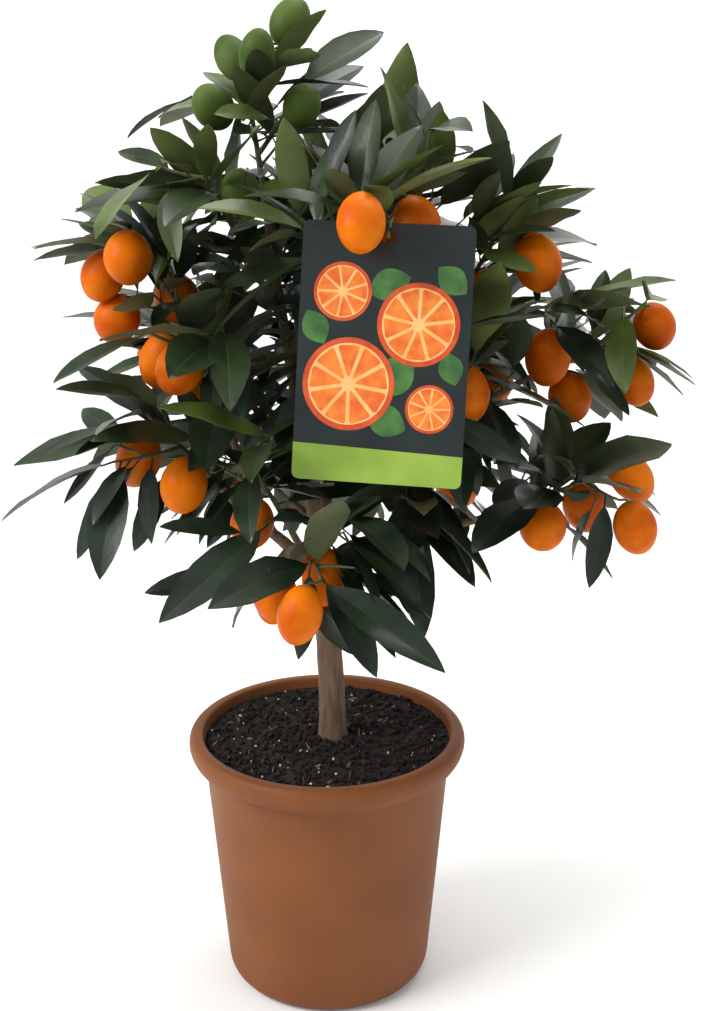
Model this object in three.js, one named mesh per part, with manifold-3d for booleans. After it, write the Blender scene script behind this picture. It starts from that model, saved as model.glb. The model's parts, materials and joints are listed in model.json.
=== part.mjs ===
// Kumquat tree in a round plastic pot, with a picture card tied into its crown.
//
// One slim trunk stands in the filled pot and forks into a leader and four boughs, and
// more boughs fork from those. A mass of foliage grows on from the tip of every bough:
// a stem, side shoots, long pointed leaves and oval fruit, fused into one solid that
// keeps to its own space. Every choice in a mass comes from its seed, so the tree grows
// the same way each time.
//
// Millimetres, +Z up. The origin is the centre of the pot's flat underside, and -Y is
// the front, where the card hangs.

import * as THREE from "three";
import { mergeVertices } from "three/addons/utils/BufferGeometryUtils.js";
import Module from "manifold-3d";

const wasm = await Module();
wasm.setup();

// ---- Driving dimensions: pot, soil and card ----

const GAP = 0.3;
const JOIN_TOLERANCE = 0.1;

const POT_HEIGHT = 190;
const POT_RIM_RADIUS = 100;
const POT_MOUTH_RADIUS = 89.5;
const POT_FOOT_RADIUS = 74;
const POT_CORNER = 12;
const POT_WALL = 2.6;
const POT_FLOOR = 3;
const RIM_HEIGHT = 20;
const RIM_OVERHANG = 11.5;
const POT_SIDES = 28;
const SOIL_LEVEL = 181;

const CARD_WIDTH = 100;
const CARD_HEIGHT = 150;
const CARD_THICKNESS = 0.9;
const CARD_CENTRE = new THREE.Vector3(37, -126, 486);
const CARD_YAW = radians(9);
const CARD_ROLL = radians(1.6);
const CARD_PITCH = radians(10);
const CARD_CORNER = 4;
const CARD_HOLE_RADIUS = 4;
const CARD_HOLE_DROP = 8;
const TIE_RADIUS = 0.7;
const TIE_STEPS = 18;
const TIE_SIDES = 3;

// ---- Driving dimensions: trunk and boughs ----

const TRUNK_FOOT = new THREE.Vector3(4, 0, SOIL_LEVEL + GAP);
const FORK = new THREE.Vector3(-2, 2, 306);
const TRUNK_RADIUS_AT_FORK = 8.8;
const TRUNK_TAPER = 0.5;
const ROOT_FLARE = 1.8;
const FLARE_FADE = 9;
const TRUNK_SIDES = 10;
const TRUNK_STEPS = 7;

const LEADER_RADIUS = 6.2;
const BOUGH_ON_TRUNK = 0.64;
const BOUGH_ON_BOUGH = 0.68;
const BOUGH_TIP_RADIUS = 2.3;
const BOUGH_SIDES = 5;
const BOUGH_STEPS = 4;

// Each bough: where it forks (a share of its parent's length), and where its foliage
// leads to, as a compass angle from +X, a distance from the pot's axis and a height.
// "fruit" is how many its foliage tries to carry, "green" when they are unripe.
const BOUGHS = [
  { name: "leader", from: "trunk", share: 1.0, angle: 194, out: 50, height: 648, fruit: 5, green: true },
  { name: "left", from: "trunk", share: 0.93, angle: 212, out: 130, height: 438, fruit: 2 },
  { name: "right", from: "trunk", share: 0.96, angle: 344, out: 186, height: 394, fruit: 5 },
  { name: "front", from: "trunk", share: 0.88, angle: 267, out: 118, height: 368, fruit: 5 },
  { name: "back", from: "trunk", share: 0.98, angle: 87, out: 126, height: 466, fruit: 2 },
  { name: "left_high", from: "leader", share: 0.3, angle: 190, out: 126, height: 540, fruit: 4 },
  { name: "right_high", from: "leader", share: 0.25, angle: 355, out: 192, height: 478, fruit: 4 },
  { name: "front_high", from: "leader", share: 0.42, angle: 284, out: 104, height: 572, fruit: 2 },
  { name: "back_high", from: "leader", share: 0.5, angle: 87, out: 80, height: 574, fruit: 1 },
  { name: "top_left", from: "leader", share: 0.66, angle: 212, out: 86, height: 590, fruit: 1, green: true },
  { name: "upper_right", from: "leader", share: 0.6, angle: 350, out: 72, height: 580, fruit: 1 },
  { name: "right_shoulder", from: "right_high", share: 0.42, angle: 355, out: 120, height: 556, fruit: 3 },
  { name: "left_middle", from: "left", share: 0.5, angle: 216, out: 104, height: 488, fruit: 4 },
  { name: "left_front", from: "front", share: 0.45, angle: 242, out: 98, height: 414, fruit: 1 },
  { name: "right_front", from: "right_high", share: 0.3, angle: 318, out: 118, height: 462, fruit: 2 },
  { name: "right_inner", from: "right", share: 0.4, angle: 318, out: 84, height: 412, fruit: 1 },
  { name: "back_left", from: "back", share: 0.42, angle: 143, out: 130, height: 482, fruit: 2 },
  { name: "back_right", from: "back", share: 0.5, angle: 38, out: 140, height: 484, fruit: 2 },
  { name: "back_low_left", from: "back", share: 0.22, angle: 129, out: 120, height: 386, fruit: 1 },
  { name: "back_low_right", from: "back", share: 0.28, angle: 50, out: 128, height: 386, fruit: 1 },
];

// ---- Driving dimensions: foliage ----

const CROWN_CENTRE = 12;
const CROWN_HALF_WIDTH = 252;
const CROWN_HALF_DEPTH = 215;
const CROWN_TOP = 700;
const CROWN_SHOULDER = 460;
const CROWN_FLOOR = 288;
const CROWN_SKIRT = 324;
const CROWN_ROUNDNESS = 1.4;
const SEED = 17;
const GOLDEN_ANGLE = radians(137.5);
const STEM_LENGTH = 74;
const STEM_RADII = [2.2, 2.0, 1.8, 1.5];
const SHOOT_RADII = [1.8, 1.5, 1.2];
const SHOOT_COUNT = 3;
const SHOOT_REACH = 48;

const LEAF_LENGTH = 84;
const LEAF_SPREAD = 0.34;
const LEAF_WIDEST = 0.46;
const LEAF_FOLD = 0.28;
const LEAF_STALK = 8;
const LEAF_STALK_RADIUS = 0.4;
const LEAF_SECTIONS = [0.3, 0.7, 1];
const LEAVES_TRIED = 28;
const LEAVES_KEPT = 5;
const LEAF_ROOM = 19;
const ROOT_ROOM = 4.5;

const FRUIT_LENGTH = 39;
const FRUIT_WIDTH = 29;
const UNRIPE_SIZE = 0.84;
const FRUIT_STALK_RADIUS = 1.1;
const FRUIT_SIDES = 6;
const FRUIT_RINGS = [0.24, 0.76];
const FRUIT_TRIES = 20;

const LIMB_CLEARANCE = 2;
const SHOOT_MARGIN = 3;
const FRUIT_MARGIN = 6;
const LEAF_OVERREACH = 26;
const FRUIT_SIGHT = 45;
const CARD_CLEARANCE = 7;
const CARD_OVERHUNG = 48;
const SIGHT_SLOPE = 0.12;

// ---- Colours ----

const FINISH = {
  pot: { color: "#96644a", roughness: 0.62 },
  soil: { color: "#1d1714", roughness: 0.95 },
  bark: { color: "#6d6052", roughness: 0.85 },
  foliage: { color: "#2f4a2a", roughness: 0.4 },
  card: { color: "#16352c", roughness: 0.3 },
  tie: { color: "#3c5a34", roughness: 0.5 },
};

// ---- Small helpers ----

function radians(degrees) {
  return (degrees * Math.PI) / 180;
}

/** A repeatable run of random numbers from 0 to 1. */
function stream(seed) {
  let state = seed >>> 0;
  return () => {
    state = (state + 0x6d2b79f5) >>> 0;
    let t = Math.imul(state ^ (state >>> 15), state | 1);
    t ^= t + Math.imul(t ^ (t >>> 7), t | 61);
    return ((t ^ (t >>> 14)) >>> 0) / 4294967296;
  };
}

function between(draw, low, high) {
  return low + (high - low) * draw();
}

/** The sum of vectors, each times its own number: sum([v, 2], [w, -1]) is 2v - w. */
function sum(...terms) {
  const total = new THREE.Vector3();
  terms.forEach(([vector, times]) => total.addScaledVector(vector, times));
  return total;
}

function unit(...terms) {
  return sum(...terms).normalize();
}

function cross(a, b) {
  return new THREE.Vector3().crossVectors(a, b);
}

const UP = new THREE.Vector3(0, 0, 1);
const FRONT = new THREE.Vector3(0, -0.96, 0.28);
const CROWN_AXIS = new THREE.Vector3(CROWN_CENTRE, 0, 0);

/** A unit vector square to a direction, turned about it. */
function sideOf(direction, turn) {
  const flat = cross(direction, UP);
  if (flat.length() < 1e-3) flat.set(1, 0, 0);
  flat.normalize();
  return sum([flat, Math.cos(turn)], [cross(flat, direction), Math.sin(turn)]);
}

/** Points along a smooth bend that leaves one end along "heading" and arrives along "arrival". */
function arc(start, heading, end, arrival, steps) {
  const pull = 0.35 * start.distanceTo(end);
  const leaving = sum([start, 1], [heading, pull]);
  const arriving = sum([end, 1], [arrival, -pull]);
  return new THREE.CubicBezierCurve3(start, leaving, arriving, end).getPoints(steps);
}

/** The place and the direction a share of the way along a line of points. */
function along(points, share) {
  const last = points.length - 1;
  const x = Math.min(share * last, last - 1e-6);
  const i = Math.floor(x);
  const place = points[i].clone().lerp(points[i + 1], x - i);
  return { place, direction: unit([points[i + 1], 1], [points[i], -1]) };
}

// ---- Solids ----

/** A geometry with its shared corners merged, as a solid that can be joined and cut. */
function solid(geometry) {
  geometry.deleteAttribute("normal");
  geometry.deleteAttribute("uv");
  const merged = mergeVertices(geometry, 1e-4);
  const mesh = new wasm.Mesh({
    numProp: 3,
    vertProperties: merged.attributes.position.array,
    triVerts: new Uint32Array(merged.index.array),
  });
  return new wasm.Manifold(mesh);
}

/** The geometry of a solid's largest part, which leaves loose scraps and sealed hollows behind. */
function geometryOf(manifold) {
  const parts = manifold.simplify(JOIN_TOLERANCE).decompose();
  const mesh = parts.reduce((best, next) => (next.volume() > best.volume() ? next : best)).getMesh();
  const geometry = new THREE.BufferGeometry();
  geometry.setAttribute("position", new THREE.BufferAttribute(mesh.vertProperties, 3));
  geometry.setIndex(new THREE.BufferAttribute(mesh.triVerts, 1));
  return geometry;
}

/** Moves every corner of a geometry to the place that a function gives for it. */
function moveCorners(geometry, placeFor) {
  const position = geometry.attributes.position;
  const corner = new THREE.Vector3();
  for (let i = 0; i < position.count; i += 1) {
    corner.fromBufferAttribute(position, i);
    const place = placeFor(corner);
    position.setXYZ(i, place.x, place.y, place.z);
  }
  return geometry;
}

/** A closed tube along a line of points, with a radius at each point. */
function tube(points, radii, sides) {
  const steps = points.length - 1;
  const frames = [];
  let side = sideOf(along(points, 0).direction, 0);
  points.forEach((place, i) => {
    const before = points[Math.max(0, i - 1)];
    const after = points[Math.min(steps, i + 1)];
    const direction = unit([after, 1], [before, -1]);
    side = unit([side, 1], [direction, -side.dot(direction)]);
    frames.push({ place, side, other: cross(side, direction), radius: radii[i] });
  });
  const cylinder = new THREE.CylinderGeometry(1, 1, 1, sides, steps);
  return moveCorners(cylinder, (corner) => {
    const frame = frames[Math.round((corner.y + 0.5) * steps)];
    return sum([frame.place, 1], [frame.side, corner.x * frame.radius], [frame.other, corner.z * frame.radius]);
  });
}

// ---- Pot and soil ----

/** The outer radius of the pot's wall at a height. */
function wallRadius(height) {
  const top = POT_RIM_RADIUS - RIM_OVERHANG;
  return POT_FOOT_RADIUS + ((top - POT_FOOT_RADIUS) * height) / (POT_HEIGHT - RIM_HEIGHT);
}

/** The radius of the hollow inside the pot at a height. */
function hollowRadius(height) {
  return Math.min(wallRadius(height) - POT_WALL, POT_MOUTH_RADIUS);
}

function potShape() {
  const rimBottom = POT_HEIGHT - RIM_HEIGHT;
  const outline = new THREE.Path();
  outline.moveTo(0, 0);
  outline.lineTo(POT_FOOT_RADIUS - POT_CORNER, 0);
  outline.quadraticCurveTo(POT_FOOT_RADIUS, 0, wallRadius(POT_CORNER), POT_CORNER);
  outline.lineTo(wallRadius(rimBottom - 2), rimBottom - 2);
  outline.lineTo(POT_RIM_RADIUS - 6, rimBottom + 1);
  outline.lineTo(POT_RIM_RADIUS - 1.5, rimBottom + 7);
  outline.quadraticCurveTo(POT_RIM_RADIUS + 0.6, POT_HEIGHT - 4, POT_RIM_RADIUS - 5, POT_HEIGHT);
  outline.lineTo(POT_MOUTH_RADIUS + 2, POT_HEIGHT);
  outline.lineTo(POT_MOUTH_RADIUS, POT_HEIGHT - 3);
  outline.lineTo(hollowRadius(rimBottom), rimBottom);
  outline.lineTo(hollowRadius(POT_FLOOR), POT_FLOOR + POT_CORNER / 2);
  outline.lineTo(hollowRadius(POT_FLOOR) - POT_CORNER / 2, POT_FLOOR);
  outline.lineTo(0, POT_FLOOR);
  return turned(outline.getPoints(2));
}

/** A profile of (radius, height) points turned about the pot's axis. */
function turned(profile) {
  return new THREE.LatheGeometry(profile, POT_SIDES).rotateX(Math.PI / 2);
}

/** The radius of the hollow where the soil's top lies, between the rim's foot and the mouth. */
function soilRadius() {
  const rimBottom = POT_HEIGHT - RIM_HEIGHT;
  const share = (SOIL_LEVEL - rimBottom) / (POT_HEIGHT - 3 - rimBottom);
  return hollowRadius(rimBottom) + share * (POT_MOUTH_RADIUS - hollowRadius(rimBottom));
}

function soilShape() {
  const floor = POT_FLOOR + GAP;
  const rimBottom = POT_HEIGHT - RIM_HEIGHT;
  const outline = new THREE.Path();
  outline.moveTo(0, floor);
  outline.lineTo(hollowRadius(POT_FLOOR) - POT_CORNER / 2 - GAP, floor);
  outline.lineTo(hollowRadius(POT_FLOOR) - 2 * GAP, POT_FLOOR + POT_CORNER / 2);
  outline.lineTo(hollowRadius(rimBottom) - 2 * GAP, rimBottom);
  outline.lineTo(soilRadius() - 2 * GAP, SOIL_LEVEL);
  outline.lineTo(0, SOIL_LEVEL);
  return turned(outline.getPoints());
}

// ---- Trunk and boughs ----

function trunkRadius(share) {
  return TRUNK_RADIUS_AT_FORK + TRUNK_TAPER * (1 - share) + ROOT_FLARE * Math.exp(-FLARE_FADE * share);
}

/** The trunk's line stands square on the soil, then leans a little to the fork. */
function trunkLimb() {
  const points = arc(TRUNK_FOOT, UP, FORK, unit([UP, 1], [new THREE.Vector3(-0.08, 0, 0), 1]), TRUNK_STEPS);
  return { points, radii: points.map((_, i) => trunkRadius(i / TRUNK_STEPS)) };
}

/** Where a bough's foliage leads to. */
function leadOf(bough) {
  const angle = radians(bough.angle);
  return new THREE.Vector3(bough.out * Math.cos(angle), bough.out * Math.sin(angle), bough.height);
}

/** One bough forks off its parent, bends towards its foliage and ends a stem's length short of it. */
function boughLimb(bough, parent) {
  const fork = along(parent.points, bough.share);
  const lead = leadOf(bough);
  const aim = unit([lead, 1], [fork.place, -1]);
  const tip = sum([lead, 1], [aim, -STEM_LENGTH]);
  const heading = unit([fork.direction, 0.55], [aim, 1]);
  const arrival = unit([aim, 1], [UP, bough.height > 400 ? 0.15 : -0.1]);
  const points = arc(fork.place, heading, tip, arrival, BOUGH_STEPS);
  const parentRadius = parent.radii[Math.floor(bough.share * (parent.radii.length - 1))];
  const root = bough.name === "leader" ? LEADER_RADIUS : parentRadius * bough.joint;
  const radii = points.map((_, i) => root + (BOUGH_TIP_RADIUS - root) * (i / BOUGH_STEPS) ** 0.8);
  return { points, radii };
}

/** Every limb by name, parents first. */
function growLimbs() {
  const limbs = { trunk: trunkLimb() };
  for (const bough of BOUGHS) {
    bough.joint = bough.from === "trunk" ? BOUGH_ON_TRUNK : BOUGH_ON_BOUGH;
    limbs[bough.name] = boughLimb(bough, limbs[bough.from]);
  }
  return limbs;
}

const limbs = growLimbs();

/** The straight stretches of a line, each with its greater radius and the mass that owns it. */
function stretchesOf(points, radii, owner) {
  return points.slice(1).map((end, i) => ({
    line: new THREE.Line3(points[i], end),
    radius: Math.max(radii[i], radii[i + 1]),
    owner,
  }));
}

const stretches = Object.values(limbs).flatMap(({ points, radii }) => stretchesOf(points, radii, "limb"));

/** How far a place is from the nearest limb's surface, or from a twig of another mass. */
function limbGap(place, owner) {
  const nearest = new THREE.Vector3();
  let least = Infinity;
  for (const stretch of stretches) {
    if (stretch.owner === owner) continue;
    stretch.line.closestPointToPoint(place, true, nearest);
    least = Math.min(least, nearest.distanceTo(place) - stretch.radius);
  }
  return least;
}

// ---- Card and its tie ----

const cardTurn = new THREE.Euler(-CARD_PITCH, CARD_ROLL, -CARD_YAW, "ZYX");

/** A place given on the card (across, up, out of its back) in the tree's frame. */
function onCard(across, up, behind) {
  return new THREE.Vector3(across, behind, up).applyEuler(cardTurn).add(CARD_CENTRE);
}

/** The same place measured from the card: x across it, y behind it and z up it. */
function fromCard(place) {
  return place.clone().sub(CARD_CENTRE).applyQuaternion(new THREE.Quaternion().setFromEuler(cardTurn).invert());
}

function cardShape() {
  const [w, h, r] = [CARD_WIDTH / 2, CARD_HEIGHT / 2, CARD_CORNER];
  const face = new THREE.Shape();
  face.moveTo(-w + r, -h);
  face.lineTo(w - r, -h);
  face.quadraticCurveTo(w, -h, w, -h + r);
  face.lineTo(w, h - r);
  face.quadraticCurveTo(w, h, w - r, h);
  face.lineTo(-w + r, h);
  face.quadraticCurveTo(-w, h, -w, h - r);
  face.lineTo(-w, -h + r);
  face.quadraticCurveTo(-w, -h, -w + r, -h);
  const hole = new THREE.Path();
  hole.absarc(0, h - CARD_HOLE_DROP, CARD_HOLE_RADIUS, 0, 2 * Math.PI, true);
  face.holes.push(hole);
  const depth = CARD_THICKNESS;
  const plate = new THREE.ExtrudeGeometry(face, { depth, bevelEnabled: false, curveSegments: 3 });
  return moveCorners(plate, (corner) => onCard(corner.x, corner.y, CARD_THICKNESS / 2 - corner.z));
}

/** The tie runs through the card's hole, round the bough behind it and back over the card's top. */
function tieLine() {
  const bough = limbs.front_high;
  const { place, direction } = along(bough.points, 0.9);
  const reach = BOUGH_TIP_RADIUS + 4 * TIE_RADIUS + 2;
  const across = sideOf(direction, 0);
  const behind = cross(direction, across);
  const hole = CARD_HEIGHT / 2 - CARD_HOLE_DROP;
  const top = CARD_HEIGHT / 2;
  const knots = [
    onCard(0.2, hole + 2.6, -3),
    onCard(0, hole, -1.6),
    onCard(0, hole, 3),
    sum([place, 1], [across, -reach]),
    sum([place, 1], [behind, behind.y > 0 ? reach : -reach]),
    sum([place, 1], [across, reach]),
    onCard(1.5, top + 3, 3),
    onCard(1.5, top + 1.4, -2.6),
    onCard(0.8, hole + 5.4, -3),
  ];
  return new THREE.CatmullRomCurve3(knots, false, "centripetal").getPoints(TIE_STEPS);
}

const tie = { points: tieLine(), radii: Array(TIE_STEPS + 1).fill(TIE_RADIUS) };
stretches.push(...stretchesOf(tie.points, tie.radii, "tie"));

function tieShape() {
  return tube(tie.points, tie.radii, TIE_SIDES);
}

/** Whether a place would crowd the card, or hide its face below the strip that leaves may hang over. */
function crowdsCard(place) {
  const { x, y, z } = fromCard(place);
  const beside = Math.abs(x) < CARD_WIDTH / 2 + 3 && Math.abs(z) < CARD_HEIGHT / 2 + 3;
  if (beside && Math.abs(y) < CARD_CLEARANCE) return true;
  const sight = z + SIGHT_SLOPE * y;
  const open = sight > -CARD_HEIGHT / 2 && sight < CARD_HEIGHT / 2 - CARD_OVERHUNG;
  return y < 0 && Math.abs(x) < CARD_WIDTH / 2 && open;
}

// ---- Growth of the foliage ----

/** The heart of a mass: half way along its stem. Each mass owns the places nearest to its own heart. */
function heartOf(bough) {
  return limbs[bough.name].points.at(-1).clone().lerp(leadOf(bough), 0.6);
}

const hearts = new Map(BOUGHS.map((bough) => [bough.name, heartOf(bough)]));

/** How deep a place lies inside a mass's own space, less than 0 outside it. */
function depthInSpace(name, place) {
  const own = hearts.get(name);
  let least = Infinity;
  for (const [other, heart] of hearts) {
    if (other === name) continue;
    const depth = (heart.distanceToSquared(place) - own.distanceToSquared(place)) / (2 * heart.distanceTo(own));
    least = Math.min(least, depth);
  }
  return least;
}

/** Whether a place is inside the whole crown: domed above its shoulder, and lowest in its middle. */
function inCrown(place) {
  const out = Math.hypot((place.x - CROWN_CENTRE) / CROWN_HALF_WIDTH, place.y / CROWN_HALF_DEPTH);
  const rise = Math.max(0, place.z - CROWN_SHOULDER) / (CROWN_TOP - CROWN_SHOULDER);
  const aside = Math.abs(place.x - CROWN_CENTRE) / CROWN_HALF_WIDTH;
  const floor = CROWN_FLOOR + (CROWN_SKIRT - CROWN_FLOOR) * THREE.MathUtils.clamp(4 * aside - 1.2, 0, 1);
  return place.z > floor && out ** CROWN_ROUNDNESS + rise ** CROWN_ROUNDNESS < 1;
}

/** How much foliage hangs: 0 at the crown's top and 1 at its foot. */
function lowness(bough) {
  return THREE.MathUtils.clamp((600 - bough.height) / 240, 0, 1);
}

/** The lines of a mass's stem and of its side shoots. */
function growShoots(bough, draw) {
  const limb = limbs[bough.name].points;
  const tip = limb.at(-1);
  const arrival = unit([tip, 1], [limb.at(-2), -1]);
  const lead = leadOf(bough);
  const lift = 0.12 - 0.2 * lowness(bough);
  const onward = unit([lead, 1], [tip, -1], [UP, 20 * lift]);
  const lines = [arc(sum([tip, 1], [arrival, GAP]), arrival, lead, onward, STEM_RADII.length - 1)];
  let turn = 2 * Math.PI * draw();
  for (let k = 0; k < SHOOT_COUNT; k += 1) {
    const { place, direction } = along(lines[0], 0.25 + (0.6 * k) / (SHOOT_COUNT - 1));
    turn += GOLDEN_ANGLE + between(draw, -0.5, 0.5);
    const spread = radians(between(draw, 38, 68));
    const heading = unit([direction, Math.cos(spread)], [sideOf(direction, turn), Math.sin(spread)], [UP, lift]);
    const arrive = unit([heading, 1], [direction, 0.35], [UP, 1.5 * lift]);
    const reach = SHOOT_REACH * between(draw, 0.6, 1.1);
    const end = sum([place, 1], [unit([heading, 1], [arrive, 1]), reach]);
    lines.push(arc(place, heading, end, arrive, SHOOT_RADII.length - 1));
  }
  const keeps = (place) =>
    depthInSpace(bough.name, place) > SHOOT_MARGIN && limbGap(place, bough.name) > SHOOT_RADII[0] + LIMB_CLEARANCE;
  return [lines[0], ...lines.slice(1).filter((line) => line.every(keeps))];
}

/** Fruit hangs from the outer half of the shoots and turns to the outside of the crown. */
function growFruit(bough, lines, draw) {
  const fruits = [];
  for (let k = 0; k < bough.fruit * FRUIT_TRIES; k += 1) {
    const line = lines[Math.floor(draw() * lines.length)];
    const { place, direction } = along(line, between(draw, 0.3, 0.95));
    const turn = 2 * Math.PI * draw();
    const size = bough.green ? UNRIPE_SIZE : 1;
    const half = size * (FRUIT_LENGTH / 2) * between(draw, 0.88, 1.1);
    const wide = size * (FRUIT_WIDTH / 2) * between(draw, 0.92, 1.08);
    const outward = unit([place, 1], [UP, -place.z]);
    const hang = bough.green ? -0.2 : 0.8;
    const heading = unit([sideOf(direction, turn), 0.8], [direction, 0.2], [outward, 0.5], [UP, -hang]);
    const stalk = between(draw, 4, 9);
    const centre = sum([place, 1], [heading, stalk + half]);
    fruits.push({ place, heading, stalk, half, wide, centre });
  }
  return fruits;
}

/** Leaves follow each other round a shoot from its tip down, closest and steepest at the tip. */
function growLeaves(bough, line, draw) {
  const leaves = [];
  let turn = 2 * Math.PI * draw();
  for (let k = 0; k < LEAVES_TRIED; k += 1) {
    const back = k / LEAVES_TRIED;
    turn += GOLDEN_ANGLE + between(draw, -0.35, 0.35);
    const { place, direction } = along(line, 1 - 0.75 * back);
    const spread = radians(between(draw, 22 + 36 * back, 62 + 16 * back));
    const droop = (0.05 + 0.3 * lowness(bough)) * between(draw, 0.4, 1.6);
    const heading = unit(
      [direction, Math.cos(spread)],
      [sideOf(direction, turn), Math.sin(spread)],
      [UP, -droop],
    );
    const length = LEAF_LENGTH * between(draw, 0.74, 1.12);
    const width = length * (LEAF_SPREAD + between(draw, -0.03, 0.04));
    const roll = radians(between(draw, -28, 28));
    const arch = between(draw, 0.02, 0.26);
    const sky = sum([UP, 1], [direction, 0.45]);
    const face = unit([sky, 1], [heading, -sky.dot(heading)]).applyAxisAngle(heading, roll);
    leaves.push({ place, heading, face, length, width, arch });
  }
  return leaves;
}

/** Half a leaf's width at a share of its length, for a widest half width of 1. */
function leafOutline(share) {
  const side = share < LEAF_WIDEST ? LEAF_WIDEST : 1 - LEAF_WIDEST;
  return Math.max(0, 1 - Math.abs((share - LEAF_WIDEST) / side) ** 2.1) ** 0.85;
}

/** A place on a leaf: "share" along its blade, and "across" from -1 to 1. */
function onLeaf(leaf, share, across) {
  const half = (leaf.width / 2) * leafOutline(share);
  const rise = Math.abs(across) * half * LEAF_FOLD - leaf.arch * leaf.length * share * share;
  return sum(
    [leaf.place, 1],
    [leaf.heading, LEAF_STALK + leaf.length * share],
    [cross(leaf.heading, leaf.face), across * half],
    [leaf.face, rise],
  );
}

/** Places all over a leaf, to test it by. */
function leafSamples(leaf) {
  const shares = [0, 0.14, 0.28, 0.42, 0.56, 0.7, 0.85, 1];
  return shares.flatMap((share) => [-1, 0, 1].map((across) => onLeaf(leaf, share, across)));
}

/** A leaf as three lines of places: its left edge, its midrib and its right edge. */
function leafLines(leaf) {
  return [-1, 0, 1].map((across) => [0, ...LEAF_SECTIONS].map((share) => onLeaf(leaf, share, across)));
}

/** Whether a line of one leaf passes through the blade of another. */
function pierces(leaf, other) {
  const ray = new THREE.Ray();
  const hit = new THREE.Vector3();
  const blade = leafLines(other);
  const through = (start, end, a, b, c) => {
    ray.set(start, unit([end, 1], [start, -1]));
    return ray.intersectTriangle(a, b, c, false, hit) !== null && hit.distanceTo(start) < end.distanceTo(start);
  };
  return leafLines(leaf).some((line) =>
    line.slice(1).some((end, i) =>
      [0, 1].some((half) =>
        blade[half].slice(1).some((ahead, j) => {
          const [inner, outer] = [blade[half + 1], blade[half]];
          const first = through(line[i], end, outer[j], ahead, inner[j + 1]);
          return first || through(line[i], end, outer[j], inner[j + 1], inner[j]);
        }),
      ),
    ),
  );
}

function inFruit(place, fruit) {
  const from = sum([place, 1], [fruit.centre, -1]);
  const lengthwise = from.dot(fruit.heading);
  const crosswise = Math.sqrt(Math.max(0, from.lengthSq() - lengthwise ** 2));
  return (lengthwise / (fruit.half + 1)) ** 2 + (crosswise / (fruit.wide + 1)) ** 2 < 1;
}

/** Three places along a fruit's middle. */
function fruitCore(fruit) {
  return [-0.5, 0, 0.5].map((share) => sum([fruit.centre, 1], [fruit.heading, share * fruit.half]));
}

/** Whether a place covers a fruit's outer side, or on the front of the crown its front. */
function hidesFruit(place, fruit) {
  const from = sum([place, 1], [fruit.centre, -1]);
  const outward = unit([fruit.centre, 1], [UP, 60 - fruit.centre.z], [CROWN_AXIS, -1]);
  const ways = fruit.centre.y < 0 ? [outward, FRONT] : [outward];
  return ways.some((way) => {
    const ahead = from.dot(way);
    return ahead > 0 && ahead < FRUIT_SIGHT && Math.sqrt(from.lengthSq() - ahead ** 2) < 0.5 * fruit.wide;
  });
}

function fruitFits(fruit, owner, fruits) {
  return fruitCore(fruit).every(
    (place) =>
      inCrown(place) &&
      depthInSpace(owner, place) > FRUIT_MARGIN &&
      !crowdsCard(place) &&
      Math.abs(fromCard(place).y) > fruit.wide + 1 &&
      limbGap(place, owner) > fruit.wide + 1 &&
      fruits.every((other) => fruitCore(other).every((core) => core.distanceTo(place) > fruit.wide + other.wide - 2)),
  );
}

function leafFits(leaf, owner, fruits, leaves) {
  const middle = onLeaf(leaf, 0.5, 0);
  const near = leaves.filter((other) => onLeaf(other, 0.5, 0).distanceTo(middle) < 1.2 * LEAF_LENGTH);
  return (
    leafSamples(leaf).every(
      (place, i) =>
        inCrown(place) &&
        depthInSpace(owner, place) > -LEAF_OVERREACH &&
        !crowdsCard(place) &&
        limbGap(place, owner) > LIMB_CLEARANCE &&
        (i < 3 || !fruits.some((fruit) => inFruit(place, fruit) || hidesFruit(place, fruit))),
    ) &&
    near.every(
      (other) =>
        other.place.distanceTo(leaf.place) > ROOT_ROOM &&
        onLeaf(other, 0.5, 0).distanceTo(middle) > LEAF_ROOM &&
        !pierces(leaf, other) &&
        !pierces(other, leaf),
    )
  );
}

// ---- Solids of the foliage ----

/** A leaf is a three-sided cone bent to its outline: two edges and a keel, from its root to its tip. */
function leafShape(leaf) {
  const rows = LEAF_SECTIONS.length;
  const cone = new THREE.ConeGeometry(1, 1, 3, rows);
  const side = cross(leaf.heading, leaf.face);
  return moveCorners(cone, (corner) => {
    const row = Math.round((corner.y + 0.5) * rows);
    const offAxis = Math.hypot(corner.x, corner.z) > 1e-6;
    const across = offAxis ? -Math.round(corner.x / Math.hypot(corner.x, corner.z)) : 0;
    if (row > 0) return onLeaf(leaf, LEAF_SECTIONS[row - 1], across);
    const down = offAxis && across === 0 ? -1 : 0;
    return sum([leaf.place, 1], [side, across * LEAF_STALK_RADIUS], [leaf.face, down * LEAF_STALK_RADIUS]);
  });
}

/** A fruit and its stalk are one profile turned about the line they hang on. */
function fruitShape(fruit) {
  const profile = [new THREE.Vector2(0, 0), new THREE.Vector2(FRUIT_STALK_RADIUS, 0)];
  for (const share of FRUIT_RINGS) {
    profile.push(new THREE.Vector2(0.95 * fruit.wide, fruit.stalk + 2 * fruit.half * share));
  }
  profile.push(new THREE.Vector2(0, fruit.stalk + 2 * fruit.half));
  const side = sideOf(fruit.heading, 0);
  const other = cross(side, fruit.heading);
  const lathe = new THREE.LatheGeometry(profile, FRUIT_SIDES);
  return moveCorners(lathe, (corner) =>
    sum([fruit.place, 1], [side, corner.x], [fruit.heading, corner.y], [other, corner.z]),
  );
}

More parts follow.
